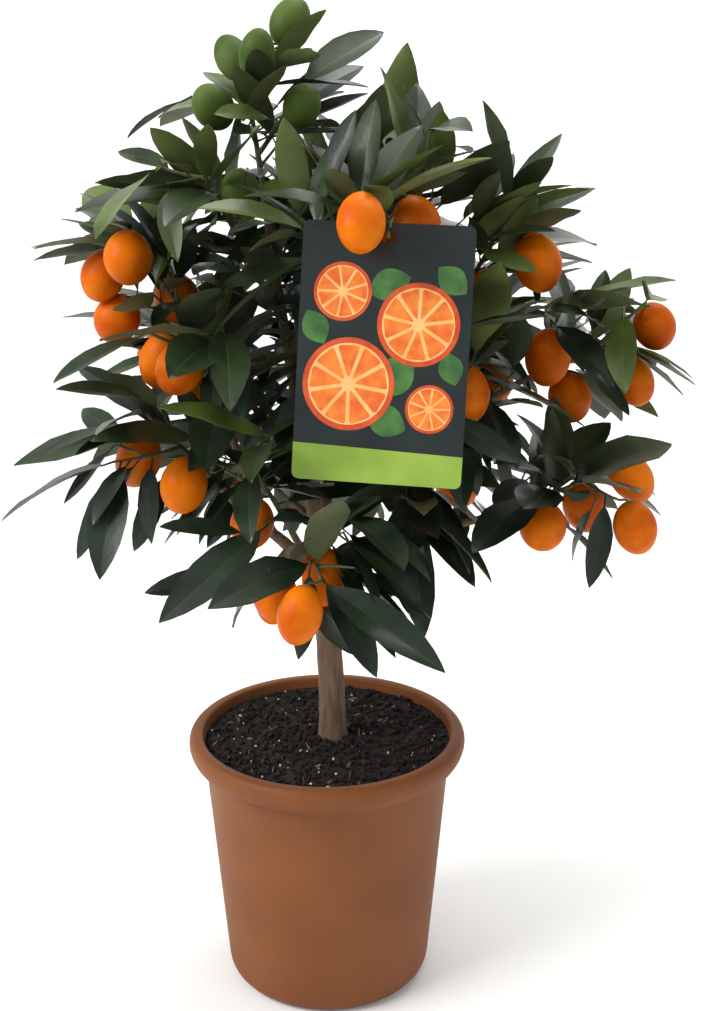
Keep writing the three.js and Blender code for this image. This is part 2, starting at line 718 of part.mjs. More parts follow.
/**
 * Every mass: its lines first, then its fruit, then leaf after leaf in turn with the other masses.
 * All the other solids are in the group by then, and what grows keeps clear of them.
 */
function growMasses() {
  const masses = BOUGHS.map((bough, number) => {
    const draw = stream(SEED * 1000 + number);
    const lines = growShoots(bough, draw);
    const shapes = lines.map((line, i) => solid(tube(line, i === 0 ? STEM_RADII : SHOOT_RADII, 3)));
    return { bough, draw, lines, shapes };
  });
  for (const { bough, lines } of masses) {
    lines.forEach((line, i) => {
      stretches.push(...stretchesOf(line, i === 0 ? STEM_RADII : SHOOT_RADII, bough.name));
    });
  }
  const fixed = group.children.map((mesh) => solid(mesh.geometry.clone()));
  const clear = (shape, mass) =>
    gapTo(shape, fixed) > GAP && masses.every((other) => other === mass || gapTo(shape, other.shapes) > GAP);
  const fruits = [];
  for (const mass of masses) {
    let wanted = mass.bough.fruit;
    for (const fruit of growFruit(mass.bough, mass.lines, mass.draw)) {
      if (wanted === 0 || !fruitFits(fruit, mass.bough.name, fruits)) continue;
      const shape = solid(fruitShape(fruit));
      if (!clear(shape, mass)) continue;
      fruits.push(fruit);
      mass.shapes.push(shape);
      wanted -= 1;
    }
  }
  const leaves = [];
  for (let turn = 0; turn <= SHOOT_COUNT; turn += 1) {
    for (const mass of masses.filter((each) => turn < each.lines.length)) {
      let wanted = LEAVES_KEPT;
      for (const leaf of growLeaves(mass.bough, mass.lines[turn], mass.draw)) {
        if (wanted === 0 || !leafFits(leaf, mass.bough.name, fruits, leaves)) continue;
        const shape = solid(leafShape(leaf));
        if (!clear(shape, mass)) continue;
        leaves.push(leaf);
        mass.shapes.push(shape);
        wanted -= 1;
      }
    }
  }
  return masses;
}

/** The least gap from a solid to any of some others, as far as it matters. */
function gapTo(shape, others) {
  const reach = 2 * GAP;
  const box = boxOf(shape).expandByScalar(reach);
  const near = others.filter((other) => boxOf(other).intersectsBox(box));
  return Math.min(reach, ...near.map((other) => shape.minGap(other, reach)));
}

function boxOf(shape) {
  const { min, max } = shape.boundingBox();
  return new THREE.Box3(new THREE.Vector3(...min), new THREE.Vector3(...max));
}

/** A bough's solid starts where it comes out of the limbs that were grown before it. */
function boughShape(bough) {
  const { points, radii } = limbs[bough.name];
  let shape = solid(tube(points, radii, BOUGH_SIDES));
  const earlier = ["trunk", ...BOUGHS.slice(0, BOUGHS.indexOf(bough)).map((other) => other.name)];
  for (const name of earlier) {
    const limb = limbs[name];
    const sides = name === "trunk" ? TRUNK_SIDES : BOUGH_SIDES;
    shape = shape.subtract(solid(tube(limb.points, limb.radii.map((radius) => radius + 1.5 * GAP), sides)));
  }
  return geometryOf(shape);
}

// ---- The scene ----

const group = new THREE.Group();

function add(name, geometry, finish) {
  const mesh = new THREE.Mesh(geometry, new THREE.MeshStandardMaterial({ ...FINISH[finish], metalness: 0 }));
  mesh.name = name;
  group.add(mesh);
}

add("pot", potShape(), "pot");
add("soil", soilShape(), "soil");
add("trunk", tube(limbs.trunk.points, limbs.trunk.radii, TRUNK_SIDES), "bark");
add("card", cardShape(), "card");
add("card_tie", tieShape(), "tie");
for (const bough of BOUGHS) {
  add(`bough_${bough.name}`, boughShape(bough), "bark");
}
for (const { bough, shapes } of growMasses()) {
  add(`foliage_${bough.name}`, geometryOf(wasm.Manifold.union(shapes)), "foliage");
}

export default group;
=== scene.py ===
"""Kumquat tree in a round plastic pot, with a picture card tied into its crown.

The limbs, shoots, leaves and fruit grow by the same rule and from the same sizes as in
the part's own source, and are then carried on to finer twigs within the same crown.
Sizes are in millimetres until a mesh is made, which is in metres.
"""

import json
from collections import namedtuple
from math import cos, exp, floor, hypot, pi, radians, sin

import bmesh
import bpy
import numpy as np
from mathutils import Euler, Matrix, Quaternion, Vector, noise

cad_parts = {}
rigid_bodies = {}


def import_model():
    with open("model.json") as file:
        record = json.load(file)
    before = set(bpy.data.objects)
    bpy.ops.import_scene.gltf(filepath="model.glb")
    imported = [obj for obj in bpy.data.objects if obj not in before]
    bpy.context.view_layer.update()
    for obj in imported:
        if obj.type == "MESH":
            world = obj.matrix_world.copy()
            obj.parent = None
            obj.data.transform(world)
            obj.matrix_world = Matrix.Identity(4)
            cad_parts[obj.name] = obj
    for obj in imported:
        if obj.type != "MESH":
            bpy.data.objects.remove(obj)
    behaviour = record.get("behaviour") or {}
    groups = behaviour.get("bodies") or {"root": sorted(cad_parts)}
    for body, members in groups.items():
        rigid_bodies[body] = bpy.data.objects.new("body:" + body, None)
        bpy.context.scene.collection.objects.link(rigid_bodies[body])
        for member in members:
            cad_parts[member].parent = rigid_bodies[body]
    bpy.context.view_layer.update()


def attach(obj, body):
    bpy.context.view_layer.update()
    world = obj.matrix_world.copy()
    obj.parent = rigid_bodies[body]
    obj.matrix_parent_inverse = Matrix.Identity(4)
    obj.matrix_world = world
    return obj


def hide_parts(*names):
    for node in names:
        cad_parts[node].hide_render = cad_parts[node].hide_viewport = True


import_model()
MM = 0.001

# ---- Sizes: pot, soil and card ----

GAP = 0.3
POT_HEIGHT = 190
POT_RIM_RADIUS = 100
POT_MOUTH_RADIUS = 89.5
POT_FOOT_RADIUS = 74
POT_CORNER = 12
POT_WALL = 2.6
POT_FLOOR = 3
RIM_HEIGHT = 20
RIM_OVERHANG = 11.5
POT_CREASE = radians(50)
POT_SIDES = 128
POT_WALL_ROWS = (40, 80, 120)
SOIL_LEVEL = 181
SOIL_RADIUS = 88.2

CARD_WIDTH = 100
CARD_HEIGHT = 150
CARD_THICKNESS = 0.9
CARD_CENTRE = Vector((37, -126, 486))
CARD_YAW = radians(9)
CARD_ROLL = radians(1.6)
CARD_PITCH = radians(10)
CARD_CORNER = 4
CARD_HOLE_RADIUS = 4
CARD_HOLE_DROP = 8
CARD_BAND = 20
PRINT_STEP = 0.09
TIE_RADIUS = 0.7
TIE_SHARE = 0.9

# ---- Sizes: trunk and boughs ----

TRUNK_FOOT = Vector((4, 0, SOIL_LEVEL + GAP))
FORK = Vector((-2, 2, 306))
TRUNK_RADIUS_AT_FORK = 8.8
TRUNK_TAPER = 0.5
ROOT_FLARE = 1.8
FLARE_FADE = 9
TRUNK_STEPS = 7
LEADER_RADIUS = 6.2
BOUGH_ON_TRUNK = 0.64
BOUGH_ON_BOUGH = 0.68
BOUGH_TIP_RADIUS = 2.3
BOUGH_THINNING = 0.8
BOUGH_STEPS = 4
BEND_PULL = 0.35
TRUNK_LEAN = -0.08
FORK_FOLLOWING = 0.55
LOW_BOUGH = 400
BOUGH_LIFT = 0.15
LOW_BOUGH_LIFT = -0.1

Bough = namedtuple("Bough", "name parent share angle out height fruit")
BOUGHS = [
    Bough("leader", "trunk", 1.0, 194, 50, 648, 5),
    Bough("left", "trunk", 0.93, 212, 130, 438, 2),
    Bough("right", "trunk", 0.96, 344, 186, 394, 5),
    Bough("front", "trunk", 0.88, 267, 118, 368, 5),
    Bough("back", "trunk", 0.98, 87, 126, 466, 2),
    Bough("left_high", "leader", 0.3, 190, 126, 540, 4),
    Bough("right_high", "leader", 0.25, 355, 192, 478, 4),
    Bough("front_high", "leader", 0.42, 284, 104, 572, 2),
    Bough("back_high", "leader", 0.5, 87, 80, 574, 1),
    Bough("top_left", "leader", 0.66, 212, 86, 590, 1),
    Bough("upper_right", "leader", 0.6, 350, 72, 580, 1),
    Bough("right_shoulder", "right_high", 0.42, 355, 120, 556, 3),
    Bough("left_middle", "left", 0.5, 216, 104, 488, 4),
    Bough("left_front", "front", 0.45, 242, 98, 414, 1),
    Bough("right_front", "right_high", 0.3, 318, 118, 462, 2),
    Bough("right_inner", "right", 0.4, 318, 84, 412, 1),
    Bough("back_left", "back", 0.42, 143, 130, 482, 2),
    Bough("back_right", "back", 0.5, 38, 140, 484, 2),
    Bough("back_low_left", "back", 0.22, 129, 120, 386, 1),
    Bough("back_low_right", "back", 0.28, 50, 128, 386, 1),
]
UNRIPE = ("leader", "top_left")

# ---- Sizes: the crown's limits ----

CROWN_CENTRE = 12
CROWN_HALF_WIDTH = 252
CROWN_HALF_DEPTH = 215
CROWN_TOP = 700
CROWN_SHOULDER = 460
CROWN_FLOOR = 288
CROWN_SKIRT = 324
SKIRT_START = 1.2
SKIRT_RISE = 4
CROWN_ROUNDNESS = 1.4
HANGING_BELOW = 600
HANGING_DEPTH = 240
HEART_SHARE = 0.6
LIMB_CLEARANCE = 2
SHOOT_MARGIN = 3
FRUIT_MARGIN = 6
CARD_CLEARANCE = 7
CARD_EDGE_ROOM = 3
CARD_OVERHUNG = 48
SIGHT_SLOPE = 0.12
SIGHT_DROP = 60

# ---- The growth rule ----

# Pairs are the ends of a range that is drawn from. Angles are in degrees, turns off the
# golden angle in radians, and other pairs are shares of a size unless they are millimetres.
SEED = 17
SEED_STEP = 1000
FINE_SEED = 500
BLADE_SEED = 900
GOLDEN_ANGLE = radians(137.5)

STEM_LENGTH = 74
STEM_LIFT = 20
STEM_RADII = (2.2, 2.0, 1.8, 1.5)
SHOOT_RADII = (1.8, 1.5, 1.2)
TWIG_RADII = (1.2, 1.0, 0.8)
SHOOT_COUNT = 3
SHOOTS_FROM = 0.25
SHOOTS_OVER = 0.6
SHOOT_TURN = (-0.5, 0.5)
SHOOT_ANGLE = (38, 68)
SHOOT_LENGTH = (0.6, 1.1)
SHOOT_REACH = 48
SHOOT_LIFT = 0.12
SHOOT_SAG = 0.2
SHOOT_FOLLOWING = 0.35
SHOOT_CURL = 1.5
TWIG_ANGLE = (35, 65)
TWIG_LENGTH = (0.5, 1.1)
TWIG_REACH = 40
TWIGS_OVER = (0.15, 0.85)
TWIGS_TRIED = 5
TWIGS_KEPT = 3
INNER_TWIGS_OVER = (0.45, 0.95)
INNER_TWIGS_TRIED = 7
INNER_TWIGS_KEPT = 5
INNER_FOLIAGE_ABOVE = 440

LEAF_LENGTH = 84
LEAF_SPREAD = 0.34
LEAF_WIDEST = 0.46
LEAF_BELLY = 2.1
LEAF_SHOULDER = 0.85
LEAF_FOLD = 0.28
LEAF_STALK = 8
LEAF_THICKNESS = 0.5
LEAF_SECTIONS = (0.3, 0.7, 1)
LEAFY_SHARE = 0.75
LEAF_TURN = (-0.35, 0.35)
LEAF_ANGLE_AT_TIP = (22, 62)
LEAF_ANGLE_OPENS_BY = (36, 16)
LEAF_DROOP = 0.05
HANGING_DROOP = 0.3
DROOP_RANGE = (0.4, 1.6)
LEAF_SIZE = (0.74, 1.12)
LEAF_SPREAD_RANGE = (-0.03, 0.04)
LEAF_ROLL = (-28, 28)
LEAF_ARCH = (0.02, 0.26)
LEAF_LEAN = 0.45
LEAF_NEIGHBOURHOOD = 1.2 * LEAF_LENGTH
LEAVES_TRIED = 28
LEAVES_KEPT = 5
LEAVES_FILLED_IN = 4
TWIG_LEAVES_TRIED = 26
TWIG_LEAVES_KEPT = 6
INNER_LEAVES_KEPT = 5
TWIG_LEAF_SIZE = 0.76
MOST_LEAVES = 4000

FRUIT_LENGTH = 39
FRUIT_WIDTH = 29
UNRIPE_SIZE = 0.84
FRUIT_TRIES = 20
FRUITS_OVER = (0.3, 0.95)
FRUIT_LENGTHS = (0.88, 1.1)
FRUIT_WIDTHS = (0.92, 1.08)
FRUIT_STALK = (4, 9)
FRUIT_ASIDE = 0.8
FRUIT_ALONG = 0.2
FRUIT_OUTWARD = 0.5
RIPE_HANG = 0.8
UNRIPE_HANG = -0.2
FRUIT_ROOM = 1
FRUIT_TOUCH = 2
UNRIPE_IN_SIGHT = 0.35

# What the finer tree changes in the solids' leaves and fruit.
LEAF_SLIMNESS = 0.92
LEAF_SHORTNESS = 0.96
FRUIT_SLIMNESS = 0.93
FRUIT_SAG = 1.3
UNRIPE_LIFT = 1.0

# How leaves keep to themselves: how far past their own space and from their mass's heart they
# may reach, the room between leaves and between their roots, and how far in front of a fruit
# and over what share of its width they leave it in sight.
Habit = namedtuple("Habit", "overreach range room root_room sight share")
SHOOT_HABIT = Habit(26, 1000, 19, 4.5, 45, 0.5)
TWIG_HABIT = Habit(10, 86, 8, 2.0, 60, 0.45)
INNER_HABIT = Habit(80, 150, 10, 2.2, 80, 0.6)

# ---- Small helpers ----

UP = Vector((0, 0, 1))
FRONT = Vector((0, -0.96, 0.28))


def stream(seed):
    """A repeatable run of random numbers from 0 to 1."""
    word = 0xFFFFFFFF
    state = seed & word

    def draw():
        nonlocal state
        state = (state + 0x6D2B79F5) & word
        t = ((state ^ (state >> 15)) * (state | 1)) & word
        t ^= (t + (((t ^ (t >> 7)) * (t | 61)) & word)) & word
        return (t ^ (t >> 14)) / 4294967296

    return draw


def between(draw, low, high):
    return low + (high - low) * draw()


def side_of(direction, turn):
    """A unit vector square to a direction, turned about it."""
    flat = direction.cross(UP)
    if flat.length < 1e-3:
        flat = Vector((1, 0, 0))
    flat.normalize()
    return flat * cos(turn) + flat.cross(direction) * sin(turn)


def arc(start, heading, end, arrival, shares):
    """Points along a smooth bend that leaves one end along a heading and arrives along another."""
    pull = BEND_PULL * (end - start).length
    leaving = start + heading * pull
    arriving = end - arrival * pull
    points = []
    for t in shares:
        early = start * (1 - t) ** 3 + leaving * (3 * t * (1 - t) ** 2)
        points.append(early + arriving * (3 * t * t * (1 - t)) + end * t**3)
    return points


class Line:
    """One bending line of wood, with a radius at each of its points."""

    def __init__(self, start, heading, end, arrival, radii):
        self.ends = (start, heading, end, arrival)
        self.radii = list(radii)
        self.points = arc(*self.ends, np.linspace(0, 1, len(self.radii)).tolist())

    def along(self, share):
        """The place and the direction a share of the way along the line."""
        last = len(self.points) - 1
        x = min(share * last, last - 1e-6)
        i = floor(x)
        place = self.points[i].lerp(self.points[i + 1], x - i)
        return place, (self.points[i + 1] - self.points[i]).normalized()

    def smooth(self, steps, upto=1.0):
        """The same bend at more points and as far as a share of it, with a radius at each."""
        shares = np.linspace(0, upto, steps + 1)
        known = np.linspace(0, 1, len(self.radii))
        return arc(*self.ends, shares.tolist()), np.interp(shares, known, self.radii)


# ---- Trunk and boughs ----


def trunk_radius(share):
    return TRUNK_RADIUS_AT_FORK + TRUNK_TAPER * (1 - share) + ROOT_FLARE * exp(-FLARE_FADE * share)


def lead_of(bough):
    """Where a bough's foliage leads to."""
    angle = radians(bough.angle)
    return Vector((bough.out * cos(angle), bough.out * sin(angle), bough.height))


def bough_line(bough, parent):
    """One bough forks off its parent, bends towards its foliage and ends a stem's length short."""
    place, direction = parent.along(bough.share)
    lead = lead_of(bough)
    aim = (lead - place).normalized()
    tip = lead - aim * STEM_LENGTH
    heading = (direction * FORK_FOLLOWING + aim).normalized()
    arrival = (aim + UP * (BOUGH_LIFT if bough.height > LOW_BOUGH else LOW_BOUGH_LIFT)).normalized()
    joint = BOUGH_ON_TRUNK if bough.parent == "trunk" else BOUGH_ON_BOUGH
    root = parent.radii[floor(bough.share * (len(parent.radii) - 1))] * joint
    if bough.name == "leader":
        root = LEADER_RADIUS
    shares = [(i / BOUGH_STEPS) ** BOUGH_THINNING for i in range(BOUGH_STEPS + 1)]
    radii = [root + (BOUGH_TIP_RADIUS - root) * share for share in shares]
    return Line(place, heading, tip, arrival, radii)


def grow_limbs():
    """Every limb by name, parents first."""
    radii = [trunk_radius(i / TRUNK_STEPS) for i in range(TRUNK_STEPS + 1)]
    lean = (UP + Vector((TRUNK_LEAN, 0, 0))).normalized()
    grown = {"trunk": Line(TRUNK_FOOT, UP, FORK, lean, radii)}
    for bough in BOUGHS:
        grown[bough.name] = bough_line(bough, grown[bough.parent])
    return grown


limbs = grow_limbs()

# ---- Card and its tie ----

card_yaw_and_roll = Matrix.Rotation(-CARD_YAW, 3, "Z") @ Matrix.Rotation(CARD_ROLL, 3, "Y")
card_turn = card_yaw_and_roll @ Matrix.Rotation(-CARD_PITCH, 3, "X")
card_place = Matrix.Translation(CARD_CENTRE * MM) @ card_turn.to_4x4() @ Matrix.Scale(MM, 4)


def on_card(across, up, behind):
    """A place given on the card, in the tree's frame."""
    return card_turn @ Vector((across, behind, up)) + CARD_CENTRE


def tie_knots():
    """The tie runs through the card's hole, round the bough behind it and back over its top."""
    place, direction = limbs["front_high"].along(TIE_SHARE)
    reach = BOUGH_TIP_RADIUS + 4 * TIE_RADIUS + 2
    across = side_of(direction, 0)
    behind = direction.cross(across)
    hole = CARD_HEIGHT / 2 - CARD_HOLE_DROP
    top = CARD_HEIGHT / 2
    return [
        on_card(0.2, hole + 2.6, -3),
        on_card(0, hole, -1.6),
        on_card(0, hole, 3),
        place - across * reach,
        place + behind * (reach if behind.y > 0 else -reach),
        place + across * reach,
        on_card(1.5, top + 3, 3),
        on_card(1.5, top + 1.4, -2.6),
        on_card(0.8, hole + 5.4, -3),
    ]


# ---- What growing leaves and fruit keep clear of ----

hearts = {b.name: np.array(limbs[b.name].points[-1].lerp(lead_of(b), HEART_SHARE)) for b in BOUGHS}


def depth_in_space(name, places):
    """How deep places lie inside a mass's own space, less than 0 outside it."""
    own = hearts[name]
    others = np.array([heart for other, heart in hearts.items() if other != name])
    to_own = ((places - own) ** 2).sum(-1)
    to_others = ((places[:, None] - others) ** 2).sum(-1)
    apart = np.linalg.norm(others - own, axis=-1)
    return ((to_others - to_own[:, None]) / (2 * apart)).min()


def in_crown(places):
    """Whether places are inside the whole crown: domed above its shoulder, and lowest in its middle."""
    out = np.hypot((places[:, 0] - CROWN_CENTRE) / CROWN_HALF_WIDTH, places[:, 1] / CROWN_HALF_DEPTH)
    rise = np.maximum(0, places[:, 2] - CROWN_SHOULDER) / (CROWN_TOP - CROWN_SHOULDER)
    aside = np.abs(places[:, 0] - CROWN_CENTRE) / CROWN_HALF_WIDTH
    skirt = np.clip(SKIRT_RISE * aside - SKIRT_START, 0, 1)
    base = CROWN_FLOOR + (CROWN_SKIRT - CROWN_FLOOR) * skirt
    inside = out**CROWN_ROUNDNESS + rise**CROWN_ROUNDNESS < 1
    return bool((inside & (places[:, 2] > base)).all())


def from_card(places):
    """The same places measured from the card: across it, behind it and up it."""
    return (places - np.array(CARD_CENTRE)) @ np.array(card_turn)


def crowds_card(places):
    """Whether a place crowds the card, or hides its face below the strip that leaves may overhang."""
    x, y, z = from_card(places).T
    half_width, half_height = CARD_WIDTH / 2, CARD_HEIGHT / 2
    at_card = (np.abs(x) < half_width + CARD_EDGE_ROOM) & (np.abs(z) < half_height + CARD_EDGE_ROOM)
    beside = at_card & (np.abs(y) < CARD_CLEARANCE)
    sight = z + SIGHT_SLOPE * y
    in_sight = (sight > -half_height) & (sight < half_height - CARD_OVERHUNG)
    before = (y < 0) & (np.abs(x) < half_width) & in_sight
    return bool((beside | before).any())


class Wood:
    """Every straight stretch of limb, shoot and tie, with the mass that owns it."""

    def __init__(self):
        self.rows = []
        self.known = {}

    def add(self, points, radii, owner):
        for i in range(len(points) - 1):
            self.rows.append((points[i], points[i + 1], max(radii[i], radii[i + 1]), owner))
        self.known = {}

    def gap(self, places, owner):
        """How far places are from the nearest limb's surface, or from a twig of another mass."""
        if owner not in self.known:
            rows = [row for row in self.rows if row[3] != owner]
            start = np.array([row[0] for row in rows])
            span = np.array([row[1] for row in rows]) - start
            radius = np.array([row[2] for row in rows])
            self.known[owner] = (start, span, (span**2).sum(-1), radius)
        start, span, length, radius = self.known[owner]
        off = places[:, None] - start
        share = np.clip((off * span).sum(-1) / length, 0, 1)
        return (np.linalg.norm(off - share[..., None] * span, axis=-1) - radius).min()


wood = Wood()
for limb in limbs.values():
    wood.add(limb.points, limb.radii, "limb")
wood.add(tie_knots(), [TIE_RADIUS] * 9, "tie")

# ---- Growth of the foliage ----

Leaf = namedtuple("Leaf", "place heading face length width arch owner")
Fruit = namedtuple("Fruit", "place heading stalk half wide centre owner")


def lowness(bough):
    """How much foliage hangs: 0 at the crown's top and 1 at its foot."""
    return min(1, max(0, (HANGING_BELOW - bough.height) / HANGING_DEPTH))


def lift_of(bough):
    """How far a mass's shoots turn upwards."""
    return SHOOT_LIFT - SHOOT_SAG * lowness(bough)


def grow_shoots(bough, draw):
    """The lines of a mass's stem and of its side shoots."""
    limb = limbs[bough.name].points
    tip = limb[-1]
    arrival = (tip - limb[-2]).normalized()
    lead = lead_of(bough)
    lift = lift_of(bough)
    stem_end = (lead - tip + UP * STEM_LIFT * lift).normalized()
    stem = Line(tip + arrival * GAP, arrival, lead, stem_end, STEM_RADII)
    shoots = []
    turn = 2 * pi * draw()
    for k in range(SHOOT_COUNT):
        place, direction = stem.along(SHOOTS_FROM + SHOOTS_OVER * k / (SHOOT_COUNT - 1))
        turn += GOLDEN_ANGLE + between(draw, *SHOOT_TURN)
        spread = radians(between(draw, *SHOOT_ANGLE))
        reach = SHOOT_REACH * between(draw, *SHOOT_LENGTH)
        shoots.append(side_shoot(place, direction, turn, spread, lift, reach, SHOOT_RADII))
    return [stem, *(shoot for shoot in shoots if keeps_clear(shoot, bough.name))]


def side_shoot(place, direction, turn, spread, lift, reach, radii):
    """A shoot that leaves its parent at an angle and then bends along with it."""
    heading = (direction * cos(spread) + side_of(direction, turn) * sin(spread) + UP * lift).normalized()
    arrive = (heading + direction * SHOOT_FOLLOWING + UP * SHOOT_CURL * lift).normalized()
    end = place + (heading + arrive).normalized() * reach
    return Line(place, heading, end, arrive, radii)


def keeps_clear(shoot, name):
    """Whether a shoot keeps inside its mass's space and off every other limb."""
    places = np.array(shoot.points)
    room = SHOOT_RADII[0] + LIMB_CLEARANCE
    return depth_in_space(name, places) > SHOOT_MARGIN and wood.gap(places, name) > room


def grow_fruit(bough, lines, draw):
    """Fruit hangs from the outer half of the shoots and turns to the outside of the crown."""
    size, hang = (UNRIPE_SIZE, UNRIPE_HANG) if bough.name in UNRIPE else (1, RIPE_HANG)
    fruits = []
    for _ in range(bough.fruit * FRUIT_TRIES):
        line = lines[floor(draw() * len(lines))]
        place, direction = line.along(between(draw, *FRUITS_OVER))
        turn = 2 * pi * draw()
        half = size * FRUIT_LENGTH / 2 * between(draw, *FRUIT_LENGTHS)
        wide = size * FRUIT_WIDTH / 2 * between(draw, *FRUIT_WIDTHS)
        outward = Vector((place.x, place.y, 0)).normalized()
        heading = side_of(direction, turn) * FRUIT_ASIDE + direction * FRUIT_ALONG
        heading = (heading + outward * FRUIT_OUTWARD - UP * hang).normalized()
        stalk = between(draw, *FRUIT_STALK)
        centre = place + heading * (stalk + half)
        fruits.append(Fruit(place, heading, stalk, half, wide, centre, bough.name))
    return fruits


def grow_leaves(bough, line, draw, tries, size=1.0):
    """Leaves follow each other round a shoot from its tip down, closest and steepest at the tip."""
    leaves = []
    turn = 2 * pi * draw()
    for k in range(tries):
        back = k / tries
        turn += GOLDEN_ANGLE + between(draw, *LEAF_TURN)
        place, direction = line.along(1 - LEAFY_SHARE * back)
        angles = (tip + opens * back for tip, opens in zip(LEAF_ANGLE_AT_TIP, LEAF_ANGLE_OPENS_BY))
        spread = radians(between(draw, *angles))
        droop = (LEAF_DROOP + HANGING_DROOP * lowness(bough)) * between(draw, *DROOP_RANGE)
        heading = direction * cos(spread) + side_of(direction, turn) * sin(spread) - UP * droop
        heading.normalize()
        length = size * LEAF_LENGTH * between(draw, *LEAF_SIZE)
        width = length * (LEAF_SPREAD + between(draw, *LEAF_SPREAD_RANGE))
        roll = radians(between(draw, *LEAF_ROLL))
        arch = between(draw, *LEAF_ARCH)
        sky = UP + direction * LEAF_LEAN
        face = Quaternion(heading, roll) @ (sky - heading * sky.dot(heading)).normalized()
        leaves.append(Leaf(place, heading, face, length, width, arch, bough.name))
    return leaves


def leaf_outline(share):
    """Half a leaf's width at a share of its length, for a widest half width of 1."""
    side = np.where(share < LEAF_WIDEST, LEAF_WIDEST, 1 - LEAF_WIDEST)
    return np.maximum(0, 1 - np.abs((share - LEAF_WIDEST) / side) ** LEAF_BELLY) ** LEAF_SHOULDER


def on_leaf(leaf, share, across):
    """Places on a leaf, at shares of its length and from -1 to 1 across it."""
    half = leaf.width / 2 * leaf_outline(share)
    rise = np.abs(across) * half * LEAF_FOLD - leaf.arch * leaf.length * share**2
    ahead = LEAF_STALK + leaf.length * share
    heading, face = np.array(leaf.heading), np.array(leaf.face)
    side = np.cross(heading, face)
    spine = np.array(leaf.place) + ahead[:, None] * heading
    return spine + (across * half)[:, None] * side + rise[:, None] * face


SAMPLE_SHARES = np.repeat((0, 0.14, 0.28, 0.42, 0.56, 0.7, 0.85, 1), 3)
SAMPLE_ACROSS = np.tile((-1.0, 0.0, 1.0), 8)
LINE_SHARES = np.tile((0, *LEAF_SECTIONS), 3)
LINE_ACROSS = np.repeat((-1.0, 0.0, 1.0), 4)


def leaf_lines(leaf):
    """The lines of a leaf's edges and midrib, as stretches, and its blade, as triangles."""
    grid = on_leaf(leaf, LINE_SHARES, LINE_ACROSS).reshape(3, 4, 3)
    stretches = np.stack((grid[:, :-1], grid[:, 1:]), 2).reshape(-1, 2, 3)
    triangles = []
    for half in (0, 1):
        outer, inner = grid[half], grid[half + 1]
        for j in range(3):
            triangles.append((outer[j], outer[j + 1], inner[j + 1]))
            triangles.append((outer[j], inner[j + 1], inner[j]))
    return stretches, np.array(triangles)


def passes_through(stretches, triangles):
    """Whether any stretch passes through any triangle."""
    start = stretches[:, None, 0]
    span = stretches[:, None, 1] - start
    corner = triangles[None, :, 0]
    one, two = triangles[None, :, 1] - corner, triangles[None, :, 2] - corner
    square = np.cross(span, two)
    size = (one * square).sum(-1)
    size = np.where(np.abs(size) < 1e-9, np.nan, size)
    off = start - corner
    u = (off * square).sum(-1) / size
    turned = np.cross(off, one)
    v = (span * turned).sum(-1) / size
    t = (two * turned).sum(-1) / size
    return bool(((u >= 0) & (v >= 0) & (u + v <= 1) & (t >= 0) & (t < 1)).any())


